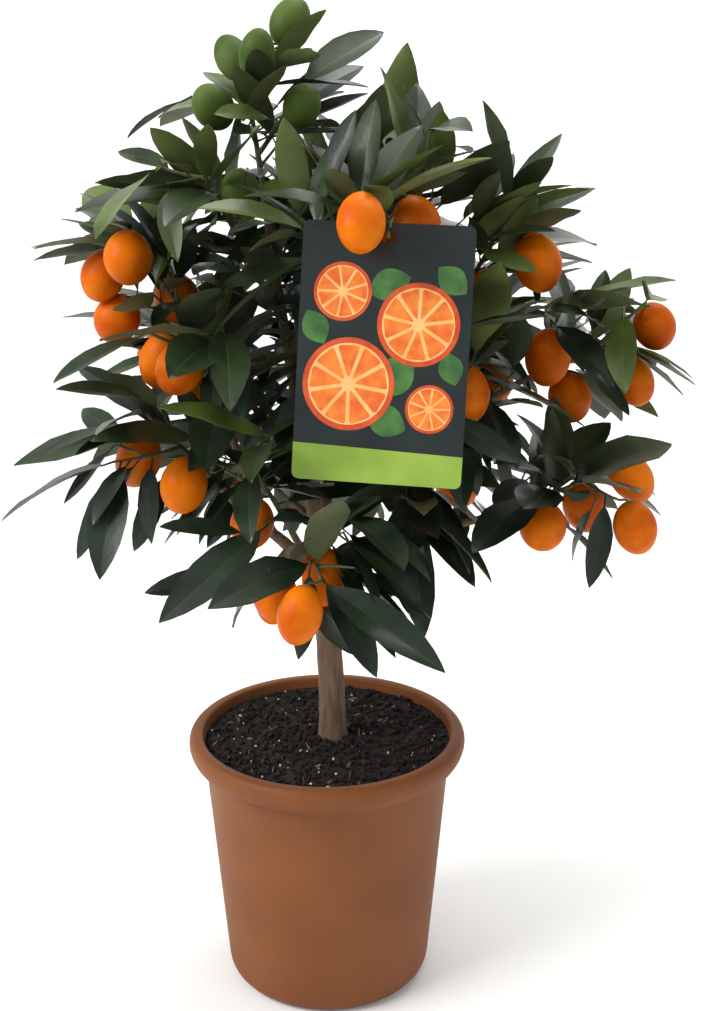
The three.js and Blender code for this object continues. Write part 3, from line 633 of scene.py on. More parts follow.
class Canopy:
    """Every leaf and fruit that has found its room."""

    def __init__(self):
        self.leaves = []
        self.fruits = []
        self.roots = np.empty((MOST_LEAVES, 3))
        self.middles = np.empty((MOST_LEAVES, 3))
        self.stretches = np.empty((MOST_LEAVES, 9, 2, 3))
        self.triangles = np.empty((MOST_LEAVES, 12, 3, 3))

    def add_fruit_if_it_fits(self, fruit):
        places = fruit_core(fruit)
        if not in_crown(places) or crowds_card(places):
            return False
        if depth_in_space(fruit.owner, places) <= FRUIT_MARGIN:
            return False
        if np.abs(from_card(places)[:, 1]).min() <= fruit.wide + FRUIT_ROOM:
            return False
        if wood.gap(places, fruit.owner) <= fruit.wide + FRUIT_ROOM:
            return False
        for other in self.fruits:
            apart = np.linalg.norm(fruit_core(other)[:, None] - places, axis=-1).min()
            if apart <= fruit.wide + other.wide - FRUIT_TOUCH:
                return False
        self.fruits.append(fruit)
        return True

    def in_fruit(self, places):
        if not self.fruits:
            return False
        centre = np.array([fruit.centre for fruit in self.fruits])
        heading = np.array([fruit.heading for fruit in self.fruits])
        half = np.array([fruit.half for fruit in self.fruits]) + FRUIT_ROOM
        wide = np.array([fruit.wide for fruit in self.fruits]) + FRUIT_ROOM
        off = places[:, None] - centre
        lengthwise = (off * heading).sum(-1)
        crosswise = np.sqrt(np.maximum(0, (off**2).sum(-1) - lengthwise**2))
        return bool(((lengthwise / half) ** 2 + (crosswise / wide) ** 2 < 1).any())

    def hides_fruit(self, places, habit):
        """Whether a place covers a fruit's outer side, or on the front of the crown its front."""
        centre = np.array([fruit.centre for fruit in self.fruits])
        wide = np.array([fruit.wide for fruit in self.fruits])
        if habit is not SHOOT_HABIT:
            wide *= [UNRIPE_IN_SIGHT if fruit.owner in UNRIPE else 1 for fruit in self.fruits]
        outward = centre * [1, 1, 0] - [CROWN_CENTRE, 0, -SIGHT_DROP]
        outward /= np.linalg.norm(outward, axis=-1)[:, None]
        front = np.where((centre[:, 1] < 0)[:, None], np.array(FRONT), outward)
        off = places[:, None] - centre
        for way in (outward, front):
            ahead = (off * way).sum(-1)
            aside = np.sqrt(np.maximum(0, (off**2).sum(-1) - ahead**2))
            if ((ahead > 0) & (ahead < habit.sight) & (aside < habit.share * wide)).any():
                return True
        return False

    def add_leaf_if_it_fits(self, leaf, habit):
        places = on_leaf(leaf, SAMPLE_SHARES, SAMPLE_ACROSS)
        if not in_crown(places) or crowds_card(places):
            return False
        if depth_in_space(leaf.owner, places) <= -habit.overreach:
            return False
        if np.linalg.norm(places - hearts[leaf.owner], axis=-1).max() > habit.range:
            return False
        grown = places[3:] if habit is INNER_HABIT else places
        if wood.gap(grown, leaf.owner) <= LIMB_CLEARANCE or self.in_fruit(places[3:]):
            return False
        if self.hides_fruit(places[3:], habit):
            return False
        count = len(self.leaves)
        middle = on_leaf(leaf, np.array([0.5]), np.array([0.0]))[0]
        apart = np.linalg.norm(self.middles[:count] - middle, axis=-1)
        near = np.flatnonzero(apart < LEAF_NEIGHBOURHOOD)
        stretches, triangles = leaf_lines(leaf)
        if near.size:
            roots_apart = np.linalg.norm(self.roots[near] - np.array(leaf.place), axis=-1)
            if roots_apart.min() <= habit.root_room or apart[near].min() <= habit.room:
                return False
            if passes_through(stretches, self.triangles[near].reshape(-1, 3, 3)):
                return False
            if passes_through(self.stretches[near].reshape(-1, 2, 3), triangles):
                return False
        self.leaves.append(leaf)
        self.roots[count] = leaf.place
        self.middles[count] = middle
        self.stretches[count] = stretches
        self.triangles[count] = triangles
        return True


def hung(fruit):
    """The same fruit, a little slimmer, sagging by its weight or still held up while unripe."""
    pull = UP * (UNRIPE_LIFT if fruit.owner in UNRIPE else -FRUIT_SAG)
    heading = (fruit.heading + pull).normalized()
    wide, half = FRUIT_SLIMNESS * fruit.wide, FRUIT_SLIMNESS * fruit.half
    return fruit._replace(heading=heading, wide=wide, half=half)


def fruit_core(fruit):
    """Three places along a fruit's middle."""
    return np.array([fruit.centre + fruit.heading * (share * fruit.half) for share in (-0.5, 0, 0.5)])


class Mass:
    """The foliage on one bough: its run of random numbers, its shoots and its finer twigs."""

    def __init__(self, number, bough):
        self.bough = bough
        self.draw = stream(SEED * SEED_STEP + number)
        self.fine_draw = stream(SEED * SEED_STEP + FINE_SEED + number)
        self.lines = grow_shoots(bough, self.draw)
        self.twigs = []
        self.inner_twigs = []


def grow_canopy(masses):
    """The source's rule: fruit first, then leaf after leaf in turn with the other masses."""
    canopy = Canopy()
    for mass in masses:
        wanted = mass.bough.fruit
        for fruit in grow_fruit(mass.bough, mass.lines, mass.draw):
            if wanted > 0 and canopy.add_fruit_if_it_fits(fruit):
                wanted -= 1
    for turn in range(SHOOT_COUNT + 1):
        for mass in masses:
            if turn < len(mass.lines):
                leaves = grow_leaves(mass.bough, mass.lines[turn], mass.draw, LEAVES_TRIED)
                keep_some(canopy, leaves, LEAVES_KEPT, SHOOT_HABIT)
    return canopy


def keep_some(canopy, leaves, wanted, habit):
    """Keeps the first leaves that find room, up to the number wanted, and counts them."""
    kept = 0
    for leaf in leaves:
        if kept < wanted and canopy.add_leaf_if_it_fits(leaf, habit):
            kept += 1
    return kept


def grow_twigs(mass, line, over, tried, wanted, canopy):
    """Some finer twigs off one line, over a stretch of it, where they find room."""
    name, draw = mass.bough.name, mass.fine_draw
    lift = lift_of(mass.bough)
    turn = 2 * pi * draw()
    twigs = []
    for share in np.linspace(*over, tried):
        place, direction = line.along(share)
        turn += GOLDEN_ANGLE + between(draw, *SHOOT_TURN)
        spread = radians(between(draw, *TWIG_ANGLE))
        reach = TWIG_REACH * between(draw, *TWIG_LENGTH)
        twig = side_shoot(place, direction, turn, spread, lift, reach, TWIG_RADII)
        places = np.array(twig.points)
        if len(twigs) == wanted or not in_crown(places) or crowds_card(places):
            continue
        if wood.gap(places[1:], name) <= TWIG_RADII[0] + LIMB_CLEARANCE or canopy.in_fruit(places[1:]):
            continue
        if line in mass.lines and depth_in_space(name, places) <= SHOOT_MARGIN:
            continue
        twigs.append(twig)
    return twigs


def grow_finer(masses, canopy):
    """Carries every shoot, and the upper boughs, on to finer twigs, each with a few leaves more."""
    for mass in masses:
        for line in mass.lines:
            mass.twigs += grow_twigs(mass, line, TWIGS_OVER, TWIGS_TRIED, TWIGS_KEPT, canopy)
        if mass.bough.height > INNER_FOLIAGE_ABOVE:
            limb = limbs[mass.bough.name]
            tried, kept = INNER_TWIGS_TRIED, INNER_TWIGS_KEPT
            mass.inner_twigs = grow_twigs(mass, limb, INNER_TWIGS_OVER, tried, kept, canopy)
    for mass in masses:
        for twig in mass.twigs + mass.inner_twigs:
            wood.add(twig.points, twig.radii, mass.bough.name)
    for mass in masses:
        mass.twigs = leaf_out(mass, mass.twigs, canopy, TWIG_LEAVES_KEPT, TWIG_HABIT)
        leaf_out(mass, mass.lines, canopy, LEAVES_FILLED_IN, TWIG_HABIT)
    for mass in masses:
        mass.twigs += leaf_out(mass, mass.inner_twigs, canopy, INNER_LEAVES_KEPT, INNER_HABIT)


def leaf_out(mass, lines, canopy, wanted, habit):
    """Gives lines their finer leaves one after the other, and returns those that bear any."""
    bearing = []
    for line in lines:
        leaves = grow_leaves(mass.bough, line, mass.fine_draw, TWIG_LEAVES_TRIED, TWIG_LEAF_SIZE)
        if keep_some(canopy, leaves, wanted, habit):
            bearing.append(line)
    return bearing


masses = [Mass(number, bough) for number, bough in enumerate(BOUGHS)]
for mass in masses:
    for line in mass.lines:
        wood.add(line.points, line.radii, mass.bough.name)
canopy = grow_canopy(masses)
canopy.fruits = [hung(fruit) for fruit in canopy.fruits]
grow_finer(masses, canopy)

# ---- Finishes ----


def linear(colour):
    """An sRGB hex colour as the linear colour that a shader takes."""
    channels = [int(colour[i : i + 2], 16) / 255 for i in (1, 3, 5)]
    return [c / 12.92 if c <= 0.04045 else ((c + 0.055) / 1.055) ** 2.4 for c in channels] + [1.0]


def add_node(material, kind, links=None, **settings):
    """Adds one node: "links" joins its inputs to outputs, and settings fill inputs or properties."""
    node = material.node_tree.nodes.new(kind)
    for name, value in settings.items():
        setattr(node, name, value)
    for name, value in (links or {}).items():
        if isinstance(value, bpy.types.NodeSocket):
            material.node_tree.links.new(value, node.inputs[name])
        else:
            node.inputs[name].default_value = value
    return node


def finish(name, colour, roughness, ior=1.45, **shader_inputs):
    """A new material with its shader's own sockets set, and nothing linked yet."""
    material = bpy.data.materials.new(name)
    material.use_nodes = True
    shader = material.node_tree.nodes["Principled BSDF"]
    shader.inputs["Base Color"].default_value = linear(colour)
    shader.inputs["Roughness"].default_value = roughness
    shader.inputs["IOR"].default_value = ior
    for socket, value in shader_inputs.items():
        shader.inputs[socket.replace("_", " ")].default_value = value
    material.diffuse_color = linear(colour)
    return material, shader


def mottle(material, shader, tones, patch_mm, stretch=(1, 1, 1), detail=3.0, edges=(0.35, 0.65)):
    """Colour that drifts between two tones in patches of a real size."""
    where = add_node(material, "ShaderNodeTexCoord").outputs["Object"]
    placed = add_node(material, "ShaderNodeMapping", {"Vector": where, "Scale": stretch})
    clouds = add_node(
        material,
        "ShaderNodeTexNoise",
        {"Vector": placed.outputs["Vector"], "Scale": 1000 / patch_mm, "Detail": detail},
    )
    ramp = add_node(material, "ShaderNodeValToRGB", {"Fac": clouds.outputs["Fac"]})
    for stop, tone, edge in zip(ramp.color_ramp.elements, tones, edges):
        stop.color = linear(tone)
        stop.position = edge
    material.node_tree.links.new(ramp.outputs["Color"], shader.inputs["Base Color"])
    return placed.outputs["Vector"]


def grain(material, shader, grain_mm, height_mm, vector, detail=2.0):
    """Relief of a real grain size and height."""
    bumps = add_node(
        material, "ShaderNodeTexNoise", {"Vector": vector, "Scale": 1000 / grain_mm, "Detail": detail}
    )
    relief = add_node(
        material,
        "ShaderNodeBump",
        {"Height": bumps.outputs["Fac"], "Strength": 1.0, "Distance": height_mm * MM},
    )
    material.node_tree.links.new(relief.outputs["Normal"], shader.inputs["Normal"])


def surface(made, tones, patch_mm, grain_mm, relief_mm, fineness=2.0, **pattern):
    """Gives a new material its drifting colour and its grain."""
    material, shader = made
    where = mottle(material, shader, tones, patch_mm, **pattern)
    grain(material, shader, grain_mm, relief_mm, where, fineness)
    return material


# Moulded polypropylene in terracotta colour: satin, with faint clouding in the pigment.
pot_plastic = surface(
    finish("terracotta_polypropylene", "#79441f", 0.6, 1.49, Specular_IOR_Level=0.3),
    ("#75411c", "#7e4922"), 60, 0.9, 0.03,
)

# Moist peat: nearly black, matt and crumbly.
peat = surface(finish("moist_peat", "#1b1411", 0.92, 1.35), ("#0f0d0c", "#2c2521"), 5, 1.4, 0.5, 5.0)

# Perlite: expanded volcanic glass, chalky white grains.
perlite = surface(finish("perlite", "#cfcabd", 0.85), ("#aca698", "#e6e2d8"), 2, 0.6, 0.2)

# Young citrus bark: grey-brown, with fine streaks that run up the stem.
bark = surface(
    finish("citrus_bark", "#6a5442", 0.85),
    ("#574433", "#7b644f"), 3.2, 1.1, 0.35, 4.0, stretch=(1, 1, 0.16), detail=5.0, edges=(0.3, 0.72),
)

# Last year's shoot: green skin that is turning to grey-brown bark.
shoot_bark = surface(
    finish("ripening_shoot", "#56523a", 0.7),
    ("#4a5234", "#665642"), 9, 1.0, 0.2, stretch=(1, 1, 0.4),
)

# Soft green twig, ridged and lightly waxed.
green_twig = surface(finish("green_twig", "#4a5a30", 0.5), ("#3c4a26", "#5f6d3c"), 12, 1.0, 0.1)

# Green plastic skin on a twist tie: smooth, with a slight sheen.
tie_plastic = surface(finish("tie_plastic", "#3c5a34", 0.45), ("#33502c", "#48683e"), 10, 1.0, 0.05)


def leaf_finish(name, tones, roughness, relief_mm):
    """Citrus leaf: a thin waxy skin over leathery green, which drifts in tone along the blade."""
    made = finish(name, tones[0], roughness, Specular_IOR_Level=0.36, Coat_Weight=0.06)
    return surface(made, tones, 26, 2.2, relief_mm)


# Leaves: the upper skin is dark and glossy, the underside lighter and dull, and the
# midrib is yellow-green. Younger leaves are yellower all over. High and outer leaves also
# take lighter tones as painted light, and low and inner ones darker tones as painted shade.
# Each tier's tones carry painted light: the sunlit tier lightest, the shaded tier darkest.
LEAF_FINISHES = {
    "mature_shaded": (
        leaf_finish("mature_shaded_leaf_skin", ("#182219", "#253222"), 0.34, 0.12),
        leaf_finish("mature_shaded_midrib", ("#22301c", "#2c3a24"), 0.4, 0.05),
        leaf_finish("mature_shaded_leaf_underside", ("#313a26", "#414a31"), 0.6, 0.15),
    ),
    "middle": (
        leaf_finish("summer_half_lit_leaf_skin", ("#212e1a", "#313f23"), 0.36, 0.12),
        leaf_finish("summer_half_lit_midrib", ("#2f4021", "#3a4a29"), 0.42, 0.05),
        leaf_finish("summer_half_lit_leaf_underside", ("#424b2d", "#535b38"), 0.6, 0.15),
    ),
    "young_sunlit": (
        leaf_finish("young_sunlit_leaf_skin", ("#3b4a1b", "#546428"), 0.4, 0.1),
        leaf_finish("young_sunlit_midrib", ("#4b5829", "#5b6733"), 0.45, 0.05),
        leaf_finish("young_sunlit_leaf_underside", ("#535f30", "#67723e"), 0.6, 0.12),
    ),
}
calyx_green = leaf_finish("fruit_calyx", ("#4f5a2c", "#67703c"), 0.6, 0.1)


def peel_finish(name, tones, roughness):
    """Citrus peel: waxy skin over fine oil pores about a millimetre apart."""
    glow = {"Subsurface_Weight": 0.04, "Subsurface_Scale": 2 * MM}
    made = finish(name, tones[0], roughness, 1.46, Specular_IOR_Level=0.12, **glow)
    return surface(made, tones, 24, 1.3, 0.16, 1.0)


ripe_peel = peel_finish("ripe_kumquat_peel", ("#bb4c00", "#dc7200"), 0.42)
green_peel = peel_finish("unripe_kumquat_peel", ("#3c4f1f", "#4f602b"), 0.5)


def ink(name, tones, patch_mm=30):
    """A flat printing ink, laid on slightly unevenly, under the card's gloss varnish."""
    material, shader = finish(name, tones[0], 0.35, 1.49, Coat_Weight=0.25, Coat_Roughness=0.15)
    mottle(material, shader, tones, patch_mm)
    return material


# Printed polypropylene card: a dark ground, a light band and clear citrus colours.
night_ink = ink("card_night_ink", ("#0d1315", "#14211f"))
band_ink = ink("card_band_ink", ("#7f9c34", "#98b545"), 40)
rind_ink = ink("card_rind_ink", ("#b93a16", "#d4551c"), 12)
pith_ink = ink("card_pith_ink", ("#e9a75c", "#f2bd76"), 12)
pulp_ink = ink("card_pulp_ink", ("#d95d1b", "#ea842c"), 8)
leaf_ink = ink("card_leaf_ink", ("#2c5527", "#4a7a34"), 14)

# ---- Making pieces ----

CREASE = radians(40)


def in_scene(name, data):
    """A new object in the scene that shows a mesh, a curve, a light or a camera."""
    made = bpy.data.objects.new(name, data)
    bpy.context.scene.collection.objects.link(made)
    return made


def shown_mesh(shown):
    """An object's mesh as it shows, with its modifiers or its curve worked out."""
    return bpy.data.meshes.new_from_object(shown.evaluated_get(bpy.context.evaluated_depsgraph_get()))


def new_piece(name, mesh, materials, replaced=()):
    """A finished mesh becomes a piece that rides with the tree and stands for its nodes."""
    for material in materials:
        mesh.materials.append(material)
    piece = in_scene(name, mesh)
    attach(piece, "root")
    if replaced:
        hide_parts(*replaced)
    return piece


def corners_of(made):
    """The corners among what a bmesh operator made."""
    return [item for item in made if isinstance(item, bmesh.types.BMVert)]


def arrays_of(bm):
    """A finished bmesh as an array of its corners and a list of its faces."""
    bm.verts.index_update()
    corners = np.array([vert.co for vert in bm.verts])
    faces = [tuple(vert.index for vert in face.verts) for face in bm.faces]
    bm.free()
    return corners, faces


def mesh_from(bm, name, crease=CREASE):
    """A finished bmesh becomes a mesh: smooth, with the edges sharper than its crease kept."""
    mesh = bpy.data.meshes.new(name)
    bm.to_mesh(mesh)
    bm.free()
    mesh.set_sharp_from_angle(angle=crease)
    return mesh


def joined(name, corners, faces, slots, crease=CREASE):
    """One joined mesh from an array of corners in millimetres, its faces and their materials."""
    mesh = bpy.data.meshes.new(name)
    mesh.from_pydata((np.asarray(corners) * MM).tolist(), [], faces)
    mesh.polygons.foreach_set("material_index", slots)
    mesh.set_sharp_from_angle(angle=crease)
    return mesh


def frames_along(points):
    """A side and an up vector at every point of a line, turned as little as may be."""
    side = None
    rows = []
    for i in range(len(points)):
        ahead = (points[min(i + 1, len(points) - 1)] - points[max(i - 1, 0)]).normalized()
        side = side_of(ahead, 0) if side is None else (side - ahead * side.dot(ahead)).normalized()
        rows.append((side, ahead.cross(side), ahead))
    return rows


# ---- Pot ----


def wall_radius(height):
    top = POT_RIM_RADIUS - RIM_OVERHANG
    return POT_FOOT_RADIUS + (top - POT_FOOT_RADIUS) * height / (POT_HEIGHT - RIM_HEIGHT)


def hollow_radius(height):
    return min(wall_radius(height) - POT_WALL, POT_MOUTH_RADIUS)


def bend(start, control, end, steps=6):
    """Points after the start of a curve that a control point draws."""
    rows = []
    for i in range(1, steps + 1):
        t = i / steps
        s = 1 - t
        rows.append([a * s**2 + b * 2 * t * s + c * t * t for a, b, c in zip(start, control, end)])
    return rows


def pot_profile():
    """The pot's outline as radius and height, from the middle of its underside round to its floor.

    The rim rolls over from its foot by its side and shoulder to the lip, and down to the mouth.
    """
    rim_bottom = POT_HEIGHT - RIM_HEIGHT
    foot = (POT_FOOT_RADIUS - POT_CORNER, 0)
    heel = (wall_radius(POT_CORNER), POT_CORNER)
    under_rim = (wall_radius(rim_bottom - 3), rim_bottom - 3)
    rim_foot = (POT_RIM_RADIUS - 7, rim_bottom + 1)
    rim_side = (POT_RIM_RADIUS - 0.4, rim_bottom + 11)
    rim_shoulder = (POT_RIM_RADIUS - 5, POT_HEIGHT)
    lip = (POT_MOUTH_RADIUS + 2, POT_HEIGHT)
    mouth = (POT_MOUTH_RADIUS, POT_HEIGHT - 3)
    rows = [(0, 0), foot]
    rows += bend(foot, (POT_FOOT_RADIUS, 0), heel)
    rows += [(wall_radius(height), height) for height in POT_WALL_ROWS]
    rows.append(under_rim)
    rows += bend(under_rim, (wall_radius(rim_bottom) + 0.3, rim_bottom), rim_foot, 5)
    rows += bend(rim_foot, (POT_RIM_RADIUS - 2.2, rim_bottom + 3), rim_side, 5)
    rows += bend(rim_side, (POT_RIM_RADIUS + 0.6, POT_HEIGHT - 1), rim_shoulder, 7)
    rows.append(lip)
    rows += bend(lip, (POT_MOUTH_RADIUS, POT_HEIGHT), mouth, 3)
    rows.append((hollow_radius(rim_bottom), rim_bottom))
    rows.append((hollow_radius(POT_FLOOR), POT_FLOOR + POT_CORNER / 2))
    rows.append((hollow_radius(POT_FLOOR) - POT_CORNER / 2, POT_FLOOR))
    rows.append((0, POT_FLOOR))
    return rows


def make_pot():
    bm = bmesh.new()
    rows = [bm.verts.new((radius * MM, 0, height * MM)) for radius, height in pot_profile()]
    edges = [bm.edges.new(pair) for pair in zip(rows, rows[1:])]
    bmesh.ops.spin(
        bm,
        geom=rows + edges,
        cent=(0, 0, 0),
        axis=(0, 0, 1),
        angle=2 * pi,
        steps=POT_SIDES,
        use_merge=True,
    )
    bmesh.ops.remove_doubles(bm, verts=bm.verts, dist=1e-6)
    bmesh.ops.recalc_face_normals(bm, faces=bm.faces)
    mesh = mesh_from(bm, "pot_moulding", crease=POT_CREASE)
    new_piece("pot_moulding", mesh, [pot_plastic], ["pot"])


# ---- Soil ----

# Heights and widths of its unevenness, its mesh, and what is scattered on it.
SOIL_RISE = 1.6
SOIL_MOUND = 2.2
SOIL_MOUND_WIDTH = 26
SOIL_LUMPS = 1.3
SOIL_LUMP_WIDTH = 13
SOIL_CLODS = 0.6
SOIL_CLOD_WIDTH = 5
SOIL_SIDES = 96
SOIL_RINGS = 16
SOIL_RING_WIDTH = 5.2
SOIL_SKIRT = 12
SOIL_SKIRT_TAPER = 0.955
SCATTER_SHARE = 0.975
SCATTER_SIZES = (0.7, 1.25)
SCATTER_FULL_TURN = 6.3
TRUNK_ROOM = 10


def soil_height(x, y):
    """The soil's top: a low mound round the trunk, with lumps and smaller clods."""
    mound = SOIL_MOUND * exp(-((hypot(x - TRUNK_FOOT.x, y - TRUNK_FOOT.y) / SOIL_MOUND_WIDTH) ** 2))
    lumps = SOIL_LUMPS * noise.noise(Vector((x / SOIL_LUMP_WIDTH, y / SOIL_LUMP_WIDTH, 1)))
    clods = SOIL_CLODS * noise.noise(Vector((x / SOIL_CLOD_WIDTH, y / SOIL_CLOD_WIDTH, 7)))
    return SOIL_LEVEL + SOIL_RISE + mound + (lumps + clods)


def make_soil():
    """The soil's top, drawn inwards from its edge ring by ring, with a skirt down into the pot."""
    bm = bmesh.new()
    bmesh.ops.create_circle(bm, cap_ends=True, segments=SOIL_SIDES, radius=SOIL_RADIUS * MM)
    for _ in range(SOIL_RINGS):
        middle = [face for face in bm.faces if len(face.verts) > 4]
        bmesh.ops.inset_region(
            bm,
            faces=middle,
            thickness=SOIL_RING_WIDTH * MM,
            use_boundary=True,
            use_even_offset=True,
        )
    for vert in bm.verts:
        vert.co.z = soil_height(vert.co.x / MM, vert.co.y / MM) * MM
    rim = [edge for edge in bm.edges if edge.is_boundary]
    for vert in corners_of(bmesh.ops.extrude_edge_only(bm, edges=rim)["geom"]):
        vert.co.x *= SOIL_SKIRT_TAPER
        vert.co.y *= SOIL_SKIRT_TAPER
        vert.co.z = (SOIL_LEVEL - SOIL_SKIRT) * MM
    bmesh.ops.holes_fill(bm, edges=[edge for edge in bm.edges if edge.is_boundary], sides=0)
    bmesh.ops.recalc_face_normals(bm, faces=bm.faces)
    new_piece("soil_top", mesh_from(bm, "soil_top"), [peat], ["soil"])


def scatter(name, count, sizes_mm, material, seed, flatness=0.75, stretch=1.0):
    """Many small lumps on the soil, joined into one piece."""
    draw = stream(seed)
    bm = bmesh.new()
    bmesh.ops.create_icosphere(bm, subdivisions=1, radius=1)
    shape, faces = arrays_of(bm)
    corners, rows = [], []
    for _ in range(count):
        out = SOIL_RADIUS * SCATTER_SHARE * draw() ** 0.5
        angle = 2 * pi * draw()
        x, y = out * cos(angle), out * sin(angle)
        size = between(draw, *sizes_mm)
        turn = np.array(Euler([SCATTER_FULL_TURN * draw() for _ in range(3)]).to_matrix())
        bulges = np.array([[between(draw, *SCATTER_SIZES)] for _ in shape])
        if hypot(x - TRUNK_FOOT.x, y - TRUNK_FOOT.y) < TRUNK_ROOM:
            continue
        lump = shape * [stretch, 1, flatness] * bulges
        rows += [tuple(i + len(shape) * len(corners) for i in face) for face in faces]
        corners.append(lump @ turn * size + [x, y, soil_height(x, y) + size / 4])
    mesh = joined(name, np.concatenate(corners), rows, [0] * len(rows))
    new_piece(name, mesh, [material])


# ---- Limbs ----

# Rings and sides of the meshes, the boughs' collars, and the relief of the bark.
TRUNK_RINGS = 70
TRUNK_RING_SIDES = 40
BOUGH_RINGS = 34
BOUGH_RING_SIDES = 14
BOUGH_COLLAR = 0.25
COLLAR_FADE = 14
STREAK_HEIGHT = 0.35
STREAK_WIDTH = 2.6
STREAK_LENGTH = 26
KNOB_HEIGHT = 0.4
KNOB_WIDTH = 9
KNOB_LENGTH = 14
KNOB_SHIFT = 40
ROUGH_FROM_RADIUS = 5


def limb_rows(line, steps, collar):
    """Points and radii along a limb, with a collar where it leaves its parent."""
    points, radii = line.smooth(steps)
    swelling = [1 + collar * exp(-COLLAR_FADE * i / steps) for i in range(steps + 1)]
    return points, radii * np.array(swelling)


def bark_relief(place, radius):
    """How far the bark stands out at a place: streaks that run up the limb, and knobs."""
    x, y, z = place
    streaks = noise.noise(Vector((x / STREAK_WIDTH, y / STREAK_WIDTH, z / STREAK_LENGTH)))
    knobs = noise.noise(Vector((x / KNOB_WIDTH, y / KNOB_WIDTH, z / KNOB_LENGTH + KNOB_SHIFT)))
    return min(1, radius / ROUGH_FROM_RADIUS) * (STREAK_HEIGHT * streaks + KNOB_HEIGHT * knobs)


def add_limb(bm, points, radii, sides):
    """Draws one limb out of a ring, step by step along its line, and closes both ends."""
    ring = bmesh.ops.create_circle(bm, cap_ends=False, segments=sides, radius=1)["verts"]
    shape = [vert.co.copy() for vert in ring]
    first = ring
    for number, (place, radius, (side, up, _)) in enumerate(zip(points, radii, frames_along(points))):
        if number > 0:
            edges = {edge for vert in ring for edge in vert.link_edges if in_ring(edge, ring)}
            made = bmesh.ops.extrude_edge_only(bm, edges=list(edges))["geom"]
            ring = following(ring, corners_of(made))
        for vert, corner in zip(ring, shape):
            outward = side * corner.x + up * corner.y
            there = place + outward * radius
            vert.co = (there + outward * bark_relief(there, radius)) * MM
    bmesh.ops.contextual_create(bm, geom=first)
    bmesh.ops.contextual_create(bm, geom=ring)


def in_ring(edge, ring):
    return edge.verts[0] in ring and edge.verts[1] in ring


def following(ring, made):
    """The new ring's corners in the order of the ring that they were drawn out of."""
    linked = ([edge.other_vert(vert) for edge in vert.link_edges] for vert in ring)
    return [next(other for other in others if other in made) for others in linked]


def bark_piece(name, limb_rings, sides, nodes):
    """One piece of bark over limbs that are given by their points and radii."""
    bm = bmesh.new()
    for points, radii in limb_rings:
        add_limb(bm, points, radii, sides)
    bmesh.ops.recalc_face_normals(bm, faces=bm.faces)
    new_piece(name, mesh_from(bm, name), [bark], nodes)


def make_limbs():
    trunk = limb_rows(limbs["trunk"], TRUNK_RINGS, 0)
    boughs = [limb_rows(limbs[bough.name], BOUGH_RINGS, BOUGH_COLLAR) for bough in BOUGHS]
    bark_piece("trunk_bark", [trunk], TRUNK_RING_SIDES, ["trunk"])
    bark_piece("bough_bark", boughs, BOUGH_RING_SIDES, ["bough_" + bough.name for bough in BOUGHS])


# ---- Shoots and twigs ----

foliage_nodes = ["foliage_" + bough.name for bough in BOUGHS]
GROWTH_SAMPLES = 61
ROOT_TOUCH = 1
SHORTEST_SHARE = 0.3
TUBE_TIP_SHARE = 0.7
FRUIT_STALK_RADII = (1.0, 1.0, 1.3)
FRUIT_STALK_SUNK = 0.6


def last_growth(line, roots):
    """The share of a line at which its last leaf, twig or fruit grows out."""
    shares = np.linspace(0, 1, GROWTH_SAMPLES)
    places = np.array([line.along(share)[0] for share in shares])
    apart = np.linalg.norm(places[:, None] - roots, axis=-1).min(1)
    grown = shares[apart < ROOT_TOUCH]
    return max(SHORTEST_SHARE, grown.max()) if grown.size else 1


def tubes(name, lines, material, steps, sides, roots=None):
    """Many closed tubes along bending lines, joined into one piece, cut off where growth ends."""
    corners, faces = [], []
    turns = 2 * pi * np.arange(sides) / sides
    for line in lines:
        points, radii = line.smooth(steps, 1 if roots is None else last_growth(line, roots))
        radii = radii * np.linspace(1, TUBE_TIP_SHARE, steps + 1)
        base = len(corners)
        for place, radius, (side, up, _) in zip(points, radii, frames_along(points)):
            corners += [place + (side * cos(t) + up * sin(t)) * radius for t in turns]
        for low in range(base, base + steps * sides, sides):
            for j in range(sides):
                k = (j + 1) % sides
                faces.append((low + j, low + k, low + sides + k, low + sides + j))
        faces.append(tuple(range(base + sides - 1, base - 1, -1)))
        faces.append(tuple(range(base + steps * sides, base + (steps + 1) * sides)))
    mesh = joined(name, corners, faces, [0] * len(faces))
    new_piece(name, mesh, [material], foliage_nodes)


def fruit_stalk(fruit):
    """The line of the stalk that a fruit hangs on."""
    end = fruit.centre - fruit.heading * (fruit.half - FRUIT_STALK_SUNK)
    leaving = (fruit.centre - fruit.place).normalized()
    return Line(fruit.place, leaving, end, fruit.heading, FRUIT_STALK_RADII)


def make_wood_of_foliage():
    """Last year's shoots, this year's twigs and the stalks of fruit."""
    stems = [line for mass in masses for line in mass.lines]
    twigs = [twig for mass in masses for twig in mass.twigs]
    growth = [grown.place for grown in canopy.leaves + canopy.fruits]
    roots = np.array(growth + [twig.points[0] for twig in twigs])
    stalks = [fruit_stalk(fruit) for fruit in canopy.fruits]
    tubes("shoots", stems, shoot_bark, steps=8, sides=7, roots=roots)
    tubes("twigs", twigs, green_twig, steps=5, sides=6, roots=roots)
    tubes("fruit_stalks", stalks, green_twig, steps=3, sides=6)


# ---- Leaves ----

# A blade's mesh: shares of its length, columns across its upper side and across its underside.
BLADE_SHARES = (0, 0.06, 0.18, 0.34, 0.52, 0.7, 0.84, 0.94, 1)
BLADE_COLUMNS = (-1, -0.045, 0.045, 1)
BENEATH_COLUMNS = (0,)
BLADE_LEAST = 0.03
